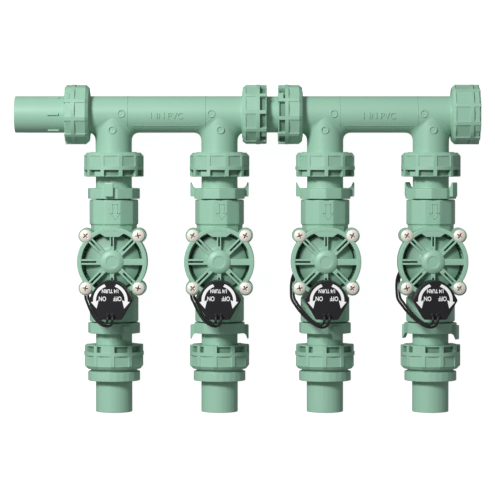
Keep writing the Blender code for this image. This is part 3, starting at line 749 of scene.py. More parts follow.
class ValveSettings(bpy.types.PropertyGroup):
    """Sizes of a valve's body and bonnet."""

    end_radius: length_setting("End radius", "Corner radius of the body's ends", 22.5)
    bowl_radius: length_setting("Bowl radius", "Of the round flange", 31.8)
    ring_inside: length_setting("Ring inside", "Inside radius of the bonnet's ring", 27.7)
    ring_top: length_setting("Ring top", "Height of the bonnet's ring", 64.0)
    boss_at: length_setting("Boss place", "From the centre along X and Y", 23.75)
    boss_radius: length_setting("Boss radius", "Of a screw boss", 6.9)
    spokes: IntProperty(name="Spokes", description="Spokes of the bonnet", default=8)
    spoke_width: length_setting("Spoke width", "Over both walls", 5.2)
    slot_width: length_setting("Slot width", "Between a spoke's walls", 1.6)
    dome_radius: length_setting("Dome radius", "Of the middle dome", 11.2)
    screw_radius: length_setting("Screw radius", "Of a screw's head", 5.6)


class SolenoidSettings(bpy.types.PropertyGroup):
    """Sizes of a solenoid and its leads."""

    radius: length_setting("Radius", "Corner radius of the cap", 20.0)
    lead: length_setting("Lead", "Diameter of a lead", 2.3)
    coil_radius: length_setting("Coil radius", "Of a coil's outer turn", 13.5)
    coil_turns: IntProperty(name="Coil turns", description="Turns of each lead", default=3)
    arrow_radius: length_setting("Arrow radius", "Middle of the printed arrows", 14.1)


class StudioSettings(bpy.types.PropertyGroup):
    """Camera and lights."""

    distance: FloatProperty(name="Distance", description="From camera to object", unit="LENGTH", default=2.5)
    tilt: FloatProperty(
        name="Tilt", description="Camera's lean toward the header", subtype="ANGLE", default=math.radians(2.0)
    )
    field: FloatProperty(name="Field", description="Width seen at the pipes", unit="LENGTH", default=0.4533)
    key: FloatProperty(name="Key", description="Power of the main light in watts", default=45.0)
    sky: FloatProperty(name="Sky", description="Strength of the even light", default=0.27)


# ---------------------------------------------------------------- leads


def smooth_route(points, spacing):
    """Points about one spacing apart on a smooth curve through the route's own points, in metres."""
    knots = [Vector(point) * MM for point in points]
    padded = [2 * knots[0] - knots[1], *knots, 2 * knots[-1] - knots[-2]]
    route = []
    for before, start, end, after in zip(padded, padded[1:], padded[2:], padded[3:]):
        count = max(1, round((end - start).length / spacing))
        for step in range(count):
            t = step / count
            route.append(
                0.5 * (2 * start + (end - before) * t + (2 * before - 5 * start + 4 * end - after) * t**2
                       + (3 * start - before - 3 * end + after) * t**3)
            )
    route.append(knots[-1])
    return route


def coil_route(settings, height, centre):
    """Flat spiral turns under the valve, wound inward, at one height."""
    points = []
    per_turn = 40
    start_angle = math.radians(172)
    for i in range(1, settings.coil_turns * per_turn - 6):
        t = i / per_turn
        whole, part = divmod(t, 1.0)
        ease = max(0.0, (part - 0.75) / 0.25)
        inward = whole + ease * ease * (3 - 2 * ease)
        radius = settings.coil_radius - 1.02 * settings.lead * inward
        angle = start_angle - t * math.tau
        points.append(centre + Vector((radius * math.cos(angle), radius * math.sin(angle), height)))
    return points


def tube(bm, path, radius, sides=12):
    """A round tube along a path, with closed ends. Its sides don't twist."""
    rings = []
    normal = None
    for i, place in enumerate(path):
        tangent = (path[min(i + 1, len(path) - 1)] - path[max(i - 1, 0)]).normalized()
        if normal is None:
            normal = tangent.orthogonal().normalized()
        normal = (normal - tangent * normal.dot(tangent)).normalized()
        across = tangent.cross(normal)
        ring = []
        for angle in even_angles(sides):
            ring.append(bm.verts.new(place + radius * (math.cos(angle) * normal + math.sin(angle) * across)))
        rings.append(ring)
    join_rings(bm, rings, closed=False)
    bm.faces.new(rings[0][::-1])
    bm.faces.new(rings[-1])


def path_length(path):
    """Length along a path's points."""
    return sum((b - a).length for a, b in zip(path, path[1:]))


class MANIFOLD_OT_leads(bpy.types.Operator):
    """Build the two leads of every solenoid, with their coils and bare ends."""

    bl_idname = "manifold.leads"
    bl_label = "Leads"

    def execute(self, context):
        """Lead a lies in the coil's bottom layer, lead b in the layer on it."""
        settings = context.scene.manifold_solenoid
        for number in VALVES:
            foot = solenoid_foot(number)
            centre = valve_centre(number)
            for letter, route in zip("ab", LEAD_ROUTES[number - 1]):
                node = f"valve_{number}_lead_{letter}"
                free = [foot + p for p in smooth_route(route, 1.6 * MM)]
                path = free + coil_route(settings, free[-1].z, centre)
                bm = bmesh.new()
                tube(bm, path, settings.lead / 2)
                lead = finished(bm, f"{node}_wire", insulation(), 60.0)
                lead.modifiers.clear()
                end, before = path[-1], path[-2]
                heading = (end - before).normalized()
                bm = bmesh.new()
                tube(bm, [end - heading * MM, end + heading * 4 * MM, end + heading * 8 * MM], 0.5 * MM)
                bare = finished(bm, f"{node}_bare_end", copper(), 60.0)
                declare(bare, ROOT, "lead_insulation")
                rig.slot(lead, "lead_insulation")
                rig.replaces(lead, node, f"valve_{number}_lead_coil")
                top, low = path[0], Vector((path[0].x, path[0].y, 45 * MM))
                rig.blend(lead, f"valve_{number}_solenoid", ROOT, top, low)
                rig.cord(
                    lead, exit=path[0], length=path_length(path), diameter=settings.lead, far_end="bare",
                    stiffness="limp", lay="coiled", path=path, with_pieces=[bare],
                )
            tie_obj = self.tie(number, centre)
            declare(tie_obj, ROOT, "lead_insulation")
        return {"FINISHED"}

    def tie(self, number, centre):
        """A band round both coils, standing across their turns."""
        half_width, height = 3.9 * MM, 4.6 * MM
        tie = rounded([(-half_width, 0.0), (half_width, 0.0), (half_width, height), (-half_width, height)], MM)
        place = Matrix.Translation(centre + Vector((0, TIE_AT, 0))) @ Matrix.Rotation(math.pi / 2, 4, "Z")
        stand = Matrix(((0, 0, 1, 0), (1, 0, 0, 0), (0, 1, 0, 0), (0, 0, 0, 1)))
        bm = bmesh.new()
        prism(bm, [(x, y) for x, y, _ in tie], -TIE_WIDTH / 2, TIE_WIDTH / 2, place @ stand)
        return finished(bm, f"valve_{number}_lead_tie", insulation())


# ---------------------------------------------------------------- pipes and fittings


class MANIFOLD_OT_header(bpy.types.Operator):
    """Build the two tees, the nipple and the inlet tailpiece."""

    bl_idname = "manifold.header"
    bl_label = "Header"

    def execute(self, context):
        """Each tee is a turned run with its outlets flaring into it."""
        pipe = context.scene.manifold_pipe
        for side, numbers in (("left", (1, 2)), ("right", (3, 4))):
            self.tee(pipe, f"tee_{side}", numbers)
        self.nipple(pipe)
        self.inlet(pipe)
        return {"FINISHED"}

    def tee(self, pipe, node, numbers):
        """A run along X with two outlets toward -Y."""
        low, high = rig.box(node)
        line = header_line()
        start, end = low[0], high[0]
        length = end - start
        collar = COLLAR_LENGTH
        angles = even_angles(pipe.sides)
        run = rounded(
            [
                (pipe.bore, 0), (pipe.collar, 0), (pipe.collar, collar),
                (pipe.radius, collar, 0, 1.2 * MM), (pipe.radius, length - collar, 0, 1.2 * MM),
                (pipe.collar, length - collar), (pipe.collar, length), (pipe.bore, length),
            ]
        )
        bm = bmesh.new()
        revolve(bm, run, angles, matrix=along(Vector((start, line.y, line.z)), (1, 0, 0)))
        piece = finished(bm, node + "_moulding", green())
        cutter = bmesh.new()
        for number in numbers:
            outward = along(Vector((valve_centre(number).x, line.y, line.z)), (0, -1, 0))
            hole = [(0, -2 * MM, 0), (pipe.bore, -2 * MM, 0), (pipe.bore, 15 * MM, 0), (0, 15 * MM, 0)]
            revolve(cutter, hole, even_angles(48), matrix=outward, closed=False)
        bmesh.ops.recalc_face_normals(cutter, faces=cutter.faces)
        cut(piece, cutter)
        bm = bmesh.new()
        bm.from_mesh(piece.data)
        tip = line.y - low[1]
        for number in numbers:
            self.outlet(bm, pipe, Vector((valve_centre(number).x, line.y, line.z)), tip)
        self.marks(bm, pipe, numbers, line)
        bm.to_mesh(piece.data)
        bm.free()
        piece.data.set_sharp_from_angle(angle=math.radians(32))
        declare(piece, ROOT, "green_plastic", node)
        self.letters(pipe, node, (valve_centre(numbers[0]).x + valve_centre(numbers[1]).x) / 2, line)

    def marks(self, bm, pipe, numbers, line):
        """Raised circles and mould lines left by the tool."""
        seam = [(pipe.radius - 0.6 * MM, -0.3 * MM, 0), (pipe.radius + 0.2 * MM, -0.3 * MM, 0),
                (pipe.radius + 0.2 * MM, 0.3 * MM, 0), (pipe.radius - 0.6 * MM, 0.3 * MM, 0)]
        for number, side in zip(numbers, (1, -1)):
            x = valve_centre(number).x
            for across, down in TEE_MARKS:
                place = Vector((x + side * across, line.y - down, line.z + pipe.radius - 0.9 * MM))
                inner, outer, top = 2.5 * MM, 3.7 * MM, 1.4 * MM
                ring = rounded([(inner, 0), (outer, 0), (outer, top), (inner, top)], 0.2 * MM)
                revolve(bm, ring, even_angles(32), matrix=Matrix.Translation(place))
            seam_at = along(Vector((x + side * TEE_SEAM, line.y, line.z)), (1, 0, 0))
            revolve(bm, seam, even_angles(pipe.sides), matrix=seam_at)
        start = valve_centre(numbers[0]).x + 18 * MM
        end = valve_centre(numbers[1]).x - 18 * MM
        angle = math.radians(-38)
        low_seam = Vector((
            (start + end) / 2, line.y + pipe.radius * math.sin(angle), line.z + pipe.radius * math.cos(angle)
        ))
        lean = Matrix.Rotation(-angle, 4, "X")
        block(bm, (end - start, 0.5 * MM, 0.5 * MM), Matrix.Translation(low_seam) @ lean)

    def letters(self, pipe, node, x, line):
        """A raised material mark on the run between the outlets."""
        mesh = lettering("1 IN PVC", 8.0 * MM, 0.45 * MM)
        lean = math.radians(6)
        height = line.z + pipe.radius * math.cos(lean) - 0.05 * MM
        place = Vector((x, line.y - pipe.radius * math.sin(lean), height))
        mesh.transform(Matrix.Translation(place) @ Matrix.Rotation(lean, 4, "X"))
        declare(show(mesh, node + "_raised_mark", green()), ROOT, "green_plastic")

    def outlet(self, bm, pipe, start, tip):
        """An outlet whose wall flares out to meet the run, with a collar at its tip."""
        radius = pipe.radius - 0.15 * MM
        collar_at = tip - COLLAR_LENGTH
        matrix = along(start, (0, -1, 0))
        steps = 8
        angles = even_angles(pipe.sides)
        rings = []

        def run_height(across):
            return math.sqrt(max(pipe.radius**2 - across**2, 0.0))

        def ring_at(distance_of):
            ring = []
            for angle in angles:
                r, h = distance_of(angle)
                ring.append(bm.verts.new(matrix @ Vector((r * math.cos(angle), r * math.sin(angle), h))))
            return ring

        def root(angle):
            r = radius + pipe.fillet * math.cos(angle) ** 2
            return r, run_height(r * math.sin(angle)) - 1.2 * MM

        def bore_root(angle):
            return pipe.bore, run_height(pipe.bore * math.sin(angle)) - 2.2 * MM

        rings.append(ring_at(bore_root))
        rings.append(ring_at(root))
        for step in range(steps + 1):
            t = step / steps

            def fillet(angle, t=t):
                spread = pipe.fillet * math.cos(angle) ** 2
                on_run = Vector((radius + spread, run_height((radius + spread) * math.sin(angle))))
                corner = Vector((radius, run_height(radius * math.sin(angle))))
                on_wall = Vector((radius, corner.y + spread + 0.3 * MM))
                place = on_run * (1 - t) ** 2 + corner * 2 * t * (1 - t) + on_wall * t**2
                return place.x, place.y

            rings.append(ring_at(fillet))
        wall = rounded(
            [
                (radius, collar_at, 0, MM), (pipe.collar, collar_at), (pipe.collar, tip), (pipe.bore, tip),
            ],
            closed=False,
        )
        rings.append(ring_at(lambda angle: (radius, collar_at - 2 * MM)))
        for r, h, _ in wall:
            rings.append(ring_at(lambda angle, r=r, h=h: (r, h)))
        join_rings(bm, rings, closed=True)

    def nipple(self, pipe):
        """A short neck with a shoulder at each end."""
        low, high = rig.box("coupling_nipple")
        length = high[0] - low[0]
        inner = length - SHOULDER_LENGTH
        profile = rounded(
            [
                (pipe.adapter_bore, 0), (pipe.shoulder, 0), (pipe.shoulder, SHOULDER_LENGTH),
                (pipe.neck, SHOULDER_LENGTH), (pipe.neck, inner), (pipe.shoulder, inner),
                (pipe.shoulder, length), (pipe.adapter_bore, length),
            ]
        )
        bm = bmesh.new()
        line = header_line()
        matrix = along(Vector((low[0], line.y, line.z)), (1, 0, 0))
        revolve(bm, profile, even_angles(pipe.sides), matrix=matrix)
        declare(finished(bm, "coupling_nipple_moulding", green()), ROOT, "green_plastic", "coupling_nipple")

    def inlet(self, pipe):
        """The inlet spigot with its shoulder in the nut and six small lugs beside it."""
        low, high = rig.box("inlet_tailpiece")
        length = high[0] - low[0]
        line = header_line()
        matrix = along(Vector((high[0], line.y, line.z)), (-1, 0, 0))
        profile = rounded(
            [
                (pipe.bore, 0), (pipe.shoulder, 0), (pipe.shoulder, SHOULDER_LENGTH),
                (pipe.radius, SHOULDER_LENGTH), (pipe.radius, length, 0, 0.9 * MM),
                (pipe.bore, length, 0, 0.9 * MM),
            ]
        )
        bm = bmesh.new()
        revolve(bm, profile, even_angles(pipe.sides), matrix=matrix)
        lug_middle = Vector((0, pipe.radius, SHOULDER_LENGTH + LUG_FROM_SHOULDER + LUG_SIZE[2] / 2))
        for lug in range(LUG_COUNT):
            turn = Matrix.Rotation(lug * math.tau / LUG_COUNT, 4, "Z")
            block(bm, LUG_SIZE, matrix @ turn @ Matrix.Translation(lug_middle), 0.5 * MM)
        declare(finished(bm, "inlet_spigot", green()), ROOT, "green_plastic", "inlet_tailpiece")


class MANIFOLD_OT_adapters(bpy.types.Operator):
    """Build the collars beside each valve and the outlet tailpieces."""

    bl_idname = "manifold.adapters"
    bl_label = "Adapters and tailpieces"

    def execute(self, context):
        """Adapters above and below each valve, then the tailpiece."""
        pipe = context.scene.manifold_pipe
        line = header_line()
        for number in VALVES:
            x = valve_centre(number).x
            upper, lower = f"valve_{number}_inlet_adapter", f"valve_{number}_outlet_adapter"
            low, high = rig.box(upper)
            down = along(Vector((x, high[1], line.z)), (0, -1, 0), -UPPER_EAR_TURN[number - 1])
            self.adapter(pipe, upper, down, high[1] - low[1])
            low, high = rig.box(lower)
            up = along(Vector((x, low[1], line.z)), (0, 1, 0), LOWER_EAR_TURN[number - 1])
            self.adapter(pipe, lower, up, high[1] - low[1])
            tail = f"valve_{number}_outlet_tailpiece"
            low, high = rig.box(tail)
            self.tailpiece(pipe, tail, along(Vector((x, high[1], line.z)), (0, -1, 0)), high[1] - low[1])
        return {"FINISHED"}

    def adapter(self, pipe, node, matrix, length):
        """Shoulder, neck, ten-sided flange, threaded stub and two hooked ears."""
        flange_end = length - STUB_LENGTH
        flange_at = flange_end - pipe.flange_length
        profile = rounded(
            [
                (pipe.adapter_bore, 0), (pipe.shoulder, 0), (pipe.shoulder, SHOULDER_LENGTH),
                (pipe.neck, SHOULDER_LENGTH), (pipe.neck, flange_at, 0, 1.2 * MM),
                (pipe.flange, flange_at, 1, 0.9 * MM), (pipe.flange, flange_end, 1, 0.9 * MM),
                (STUB_RADIUS, flange_end), (STUB_RADIUS, length),
                (pipe.adapter_bore, length),
            ]
        )
        bm = bmesh.new()
        revolve(bm, profile, polygon_angles(10), polygon_radius(10), matrix)
        hook = [
            (21.0 * MM, -7.7 * MM), (26.2 * MM, -7.7 * MM), (26.7 * MM, -7.0 * MM), (26.7 * MM, 4.4 * MM),
            (26.3 * MM, 5.4 * MM), (25.5 * MM, 5.4 * MM), (25.2 * MM, 3.4 * MM), (24.4 * MM, 1.4 * MM),
            (23.2 * MM, 0.3 * MM), (21.0 * MM, 0.0),
        ]
        for side in (0, math.pi):
            # The outline's x runs outward along local Y and its y back along the neck.
            frame = Matrix(((0, 0, 1, 0), (1, 0, 0, 0), (0, -1, 0, flange_at), (0, 0, 0, 1)))
            prism(bm, hook, -3.8 * MM, 3.8 * MM, matrix @ Matrix.Rotation(side, 4, "Z") @ frame, 0.35 * MM)
        declare(finished(bm, node + "_moulding", green()), ROOT, "green_plastic", node)

    def tailpiece(self, pipe, node, matrix, length):
        """Male collar, flange with many flats and plain pipe."""
        flange_end = TAIL_COLLAR_LENGTH + TAIL_FLANGE_LENGTH
        profile = rounded(
            [
                (pipe.bore, 0), (pipe.collar, 0), (pipe.collar, TAIL_COLLAR_LENGTH),
                (TAIL_FLANGE_RADIUS, TAIL_COLLAR_LENGTH, 1, 0.8 * MM),
                (TAIL_FLANGE_RADIUS, flange_end, 1, 0.8 * MM),
                (pipe.radius, flange_end, 0, 0.8 * MM), (pipe.radius, length, 0, 0.8 * MM),
                (pipe.bore, length, 0, 0.8 * MM),
            ]
        )
        bm = bmesh.new()
        half_side = Matrix.Rotation(math.pi / TAIL_FLANGE_SIDES, 4, "Z")
        angles = polygon_angles(TAIL_FLANGE_SIDES, 1, 0.8)
        revolve(bm, profile, angles, polygon_radius(TAIL_FLANGE_SIDES), matrix @ half_side)
        declare(finished(bm, node + "_moulding", green()), ROOT, "green_plastic", node)


# ---------------------------------------------------------------- union nuts


def nut_columns(nut, blocks):
    """(angle, on a rib, in a filled part) for each column round a nut, from straight up."""
    pitch = math.tau / nut.ribs
    top = math.asin(nut.rib_width / 2 / nut.radius)
    draft = 0.3 * MM / nut.radius
    foot = top + draft
    side, block_rib, width, _ = blocks
    width /= nut.radius
    columns = []
    for rib in range(nut.ribs):
        centre = math.pi / 2 + rib * pitch
        filled = rib % 5 == block_rib
        columns += [(centre - foot, 0, filled and side < 0), (centre - top, 1, 0), (centre, 1, 0)]
        columns += [(centre + top, 1, 0), (centre + foot, 0, filled and side > 0)]
        start, end = centre + foot, centre + pitch - foot
        if filled and side > 0:
            columns += [(start + width, 0, 1), (start + width + draft, 0, 0)]
            start += width + draft
        next_filled = (rib + 1) % 5 == block_rib and side < 0
        if next_filled:
            end -= width + draft
        columns += [(start + (end - start) * k / 3, 0, 0) for k in (1, 2)]
        if next_filled:
            columns += [(end, 0, 0), (end + draft, 0, 1)]
    return columns


def nut_rows(nut, length, cell_radius, slotted):
    """(height, rib radius, radius between ribs, radius of the filled parts) up a nut's outside."""
    out = nut.radius
    ring = nut.ring_start
    ring_end = ring + nut.ring_width
    step = 0.3 * MM
    chamfer = 3.0 * MM
    rim = out - 2.0 * MM
    fill = out - 0.7 * MM
    slot = cell_radius if slotted else fill
    return [
        (0.0, out - 0.8 * MM, rim - 0.6 * MM, fill - 0.5 * MM),
        (0.5 * MM, out, rim, fill),
        (1.0 * MM, out, rim, fill),
        (1.0 * MM + step, out, cell_radius, fill),
        (ring - 1.7 * MM, out, cell_radius, fill),
        (ring - 1.7 * MM + step, out, cell_radius, slot),
        (ring - step, out, cell_radius, slot),
        (ring, out, out, out),
        (ring_end, out, out, out),
        (ring_end + step, out, nut.panel_radius, nut.panel_radius),
        (length - chamfer - step, out, nut.panel_radius, nut.panel_radius),
        (length - chamfer, out, out - 0.55 * MM, out - 0.55 * MM),
        (length - 0.6 * MM, out - 2.3 * MM, out - 2.3 * MM, out - 2.3 * MM),
        (length, out - 3.0 * MM, out - 3.0 * MM, out - 3.0 * MM),
    ]


def nut_piece(nut, name, matrix, length, blocks, shallow=False, closed_end=False):
    """One nut along local Z, its castellated end at 0."""
    columns = nut_columns(nut, blocks)
    cell_radius = nut.panel_radius if shallow else nut.cell_radius
    pitch = math.tau / nut.ribs
    bm = bmesh.new()
    rings = []
    for height, on_rib, between, filled in nut_rows(nut, length, cell_radius, blocks[3]):
        ring = []
        for angle, is_rib, is_filled in columns:
            radius = on_rib if is_rib else (filled if is_filled else between)
            flat = between in (nut.panel_radius,) and not is_rib
            if flat:
                radius /= math.cos((angle - math.pi / 2) % pitch - pitch / 2)
                radius = min(radius, nut.radius - 0.4 * MM)
            ring.append(bm.verts.new(matrix @ round_point(radius, angle, height)))
        rings.append(ring)
    if closed_end:
        inner = rounded(
            [(nut.bore_radius, length), (nut.bore_radius, 4 * MM), (0, 4 * MM), (0, 1.2 * MM),
             (21.0 * MM, 1.2 * MM), (22.0 * MM, 0)], closed=False
        )
    else:
        inner = rounded(
            [(nut.bore_radius, length), (nut.bore_radius, 4 * MM), (nut.lip_radius, 4 * MM),
             (nut.lip_radius, 0)],
            closed=False,
        )
    for radius, height, _ in inner:
        if radius < 1e-7:
            rings.append([bm.verts.new(matrix @ Vector((0, 0, height)))])
            continue
        rings.append(
            [bm.verts.new(matrix @ round_point(radius, angle, height)) for angle, _, _ in columns]
        )
    join_rings(bm, rings, closed=True)
    to_local = matrix.inverted()
    deep = (nut.panel_radius + nut.cell_radius) / 2

    # Painted shade: points nearer the axis than halfway into the cells, between the rim and the ring, take 0.55 of the
    # dark tint, except on the closed cap.
    def painted_shade_of(place):
        local = to_local @ place
        in_cell = math.hypot(local.x, local.y) < deep and 0.9 * MM < local.z < nut.ring_start
        return 0.55 if in_cell and not closed_end else 0.0

    return shade_recesses(finished(bm, name, green(), 25.0), painted_shade_of)


class MANIFOLD_OT_nuts(bpy.types.Operator):
    """Build the union nuts and the end cap."""

    bl_idname = "manifold.nuts"
    bl_label = "Union nuts"

    def execute(self, context):
        """Each nut rides its own body."""
        nut = context.scene.manifold_nut
        line = header_line()

        def make(node, start, direction, turn, blocks=LEFT_BLOCKS, **options):
            low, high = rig.box(node)
            length = max(high[i] - low[i] for i in (0, 1) if abs(direction[i]) > 0.5)
            piece = nut_piece(nut, node + "_moulding", along(start, direction, turn), length, blocks, **options)
            declare(piece, node, "green_plastic", node)

        def at_x(x):
            return Vector((x, line.y, line.z))

        make("inlet_nut", at_x(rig.box("inlet_nut")[0][0]), (1, 0, 0), -INLET_NUT_TURN, shallow=True)
        make("coupling_nut_left", at_x(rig.box("coupling_nut_left")[1][0]), (-1, 0, 0), COUPLING_NUT_TURNS[0])
        make("coupling_nut_right", at_x(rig.box("coupling_nut_right")[0][0]), (1, 0, 0), -COUPLING_NUT_TURNS[1])
        make("end_cap", at_x(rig.box("end_cap")[1][0]), (-1, 0, 0), CAP_TURN, shallow=True, closed_end=True)
        for number in VALVES:
            x = valve_centre(number).x
            upper, lower = f"valve_{number}_upper_nut", f"valve_{number}_lower_nut"
            make(upper, Vector((x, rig.box(upper)[0][1], line.z)), (0, 1, 0), UPPER_NUT_TURN[number - 1])
            lower_end = Vector((x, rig.box(lower)[1][1], line.z))
            make(lower, lower_end, (0, -1, 0), -LOWER_NUT_TURN[number - 1], RIGHT_BLOCKS)
        return {"FINISHED"}


# ---------------------------------------------------------------- valve bodies and bonnets


def boss_places(valve):
    """Centres of the four cover screws round the valve's centre."""
    return [(x * valve.boss_at, y * valve.boss_at) for x in (-1, 1) for y in (-1, 1)]


class MANIFOLD_OT_bodies(bpy.types.Operator):
    """Build the four valve bodies."""

    bl_idname = "manifold.bodies"
    bl_label = "Valve bodies"

    def execute(self, context):
        """Pipe ends, bowl, bosses, socket lobe and flow arrow."""
        valve = context.scene.manifold_valve
        for number in VALVES:
            self.body(valve, number)
        return {"FINISHED"}

    def body(self, valve, number):
        """One body about its valve's centre."""
        node = f"valve_{number}_body"
        low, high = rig.box(node)
        centre = valve_centre(number)
        axis_z = header_line().z
        length = high[1] - low[1]
        end = 22.3 * MM
        barrel = 21.2 * MM
        thread = 16.4 * MM
        profile = rounded(
            [
                (thread, 15 * MM), (thread, 0, 0, 0.5 * MM), (valve.end_radius, 0, 1, 1.6 * MM),
                (valve.end_radius, end, 1, 1.0 * MM),
                (barrel, end + 0.8 * MM, 1, 0.8 * MM), (barrel, length / 2 - 26.2 * MM, 1, 0),
                (12.9 * MM, length / 2 - 26.2 * MM, 0, 0), (12.9 * MM, length / 2 + 26.2 * MM, 0, 0),
                (barrel, length / 2 + 26.2 * MM, 1, 0), (barrel, length - end - 0.8 * MM, 1, 0.8 * MM),
                (valve.end_radius, length - end, 1, 1.0 * MM),
                (valve.end_radius, length, 1, 1.6 * MM), (thread, length, 0, 0.5 * MM),
                (thread, length - 15 * MM),
                (11.5 * MM, length - 15 * MM), (11.5 * MM, 15 * MM),
            ]
        )
        bm = bmesh.new()
        start = Vector((centre.x, high[1], axis_z))
        revolve(bm, profile, polygon_angles(10), polygon_radius(10), along(start, (0, -1, 0)))
        top = high[2]
        chamber_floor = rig.box(f"valve_{number}_diaphragm")[0][2] - 0.2 * MM
        bowl = rounded(
            [
                (0, axis_z + 11.2 * MM), (18 * MM, axis_z + 3 * MM, 0, 0.5 * MM),
                (22 * MM, axis_z + 1.0 * MM, 0, 3 * MM), (27 * MM, 34 * MM, 0, 3 * MM),
                (30.5 * MM, 43 * MM, 0, MM), (valve.bowl_radius, 43 * MM, 0, 0.8 * MM),
                (valve.bowl_radius, top, 0, 0.5 * MM), (26 * MM, top), (26 * MM, chamber_floor),
                (0, chamber_floor),
            ],
            closed=False,
        )
        upright = Matrix.Translation((centre.x, centre.y, 0))
        revolve(bm, bowl, even_angles(96), matrix=upright, closed=False)
        boss_foot = 41 * MM
        boss = [(0, boss_foot), (valve.boss_radius, boss_foot), (valve.boss_radius, top), (0, top)]
        boss = rounded(boss, closed=False)
        for x, y in boss_places(valve):
            revolve(bm, boss, even_angles(40), matrix=upright @ Matrix.Translation((x, y, 0)), closed=False)
        lobe = arc(13.5 * MM, 139, 401, 36, (0.0, -33 * MM)) + arc(26.2 * MM, -67.1, -112.9, 8)
        prism(bm, lobe, axis_z, top, upright)
        self.arrow(bm, valve, Vector((centre.x + 2 * MM, high[1] - end / 2, axis_z)))
        declare(finished(bm, node + "_moulding", green()), ROOT, "green_plastic", node)

    def arrow(self, bm, valve, place):
        """A raised outline of an arrow on the inlet end's top facet, pointing downstream."""
        top = valve.end_radius * math.cos(math.pi / 10)
        wide, shaft = 4.4 * MM, 2.2 * MM
        bar = 0.55 * MM
        outline = [
            (-shaft, 7 * MM), (shaft, 7 * MM), (shaft, -1 * MM), (wide, -1 * MM), (0, -6.5 * MM),
            (-wide, -1 * MM), (-shaft, -1 * MM),
        ]
        for start, end in zip(outline, outline[1:] + outline[:1]):
            a, b = Vector(start), Vector(end)
            run = b - a
            centre = (a + b) / 2
            bar_at = Matrix.Translation((place.x + centre.x, place.y + centre.y, place.z + top))
            turn = Matrix.Rotation(math.atan2(run.y, run.x), 4, "Z")
            block(bm, (run.length + bar, bar, 0.5 * MM), bar_at @ turn)


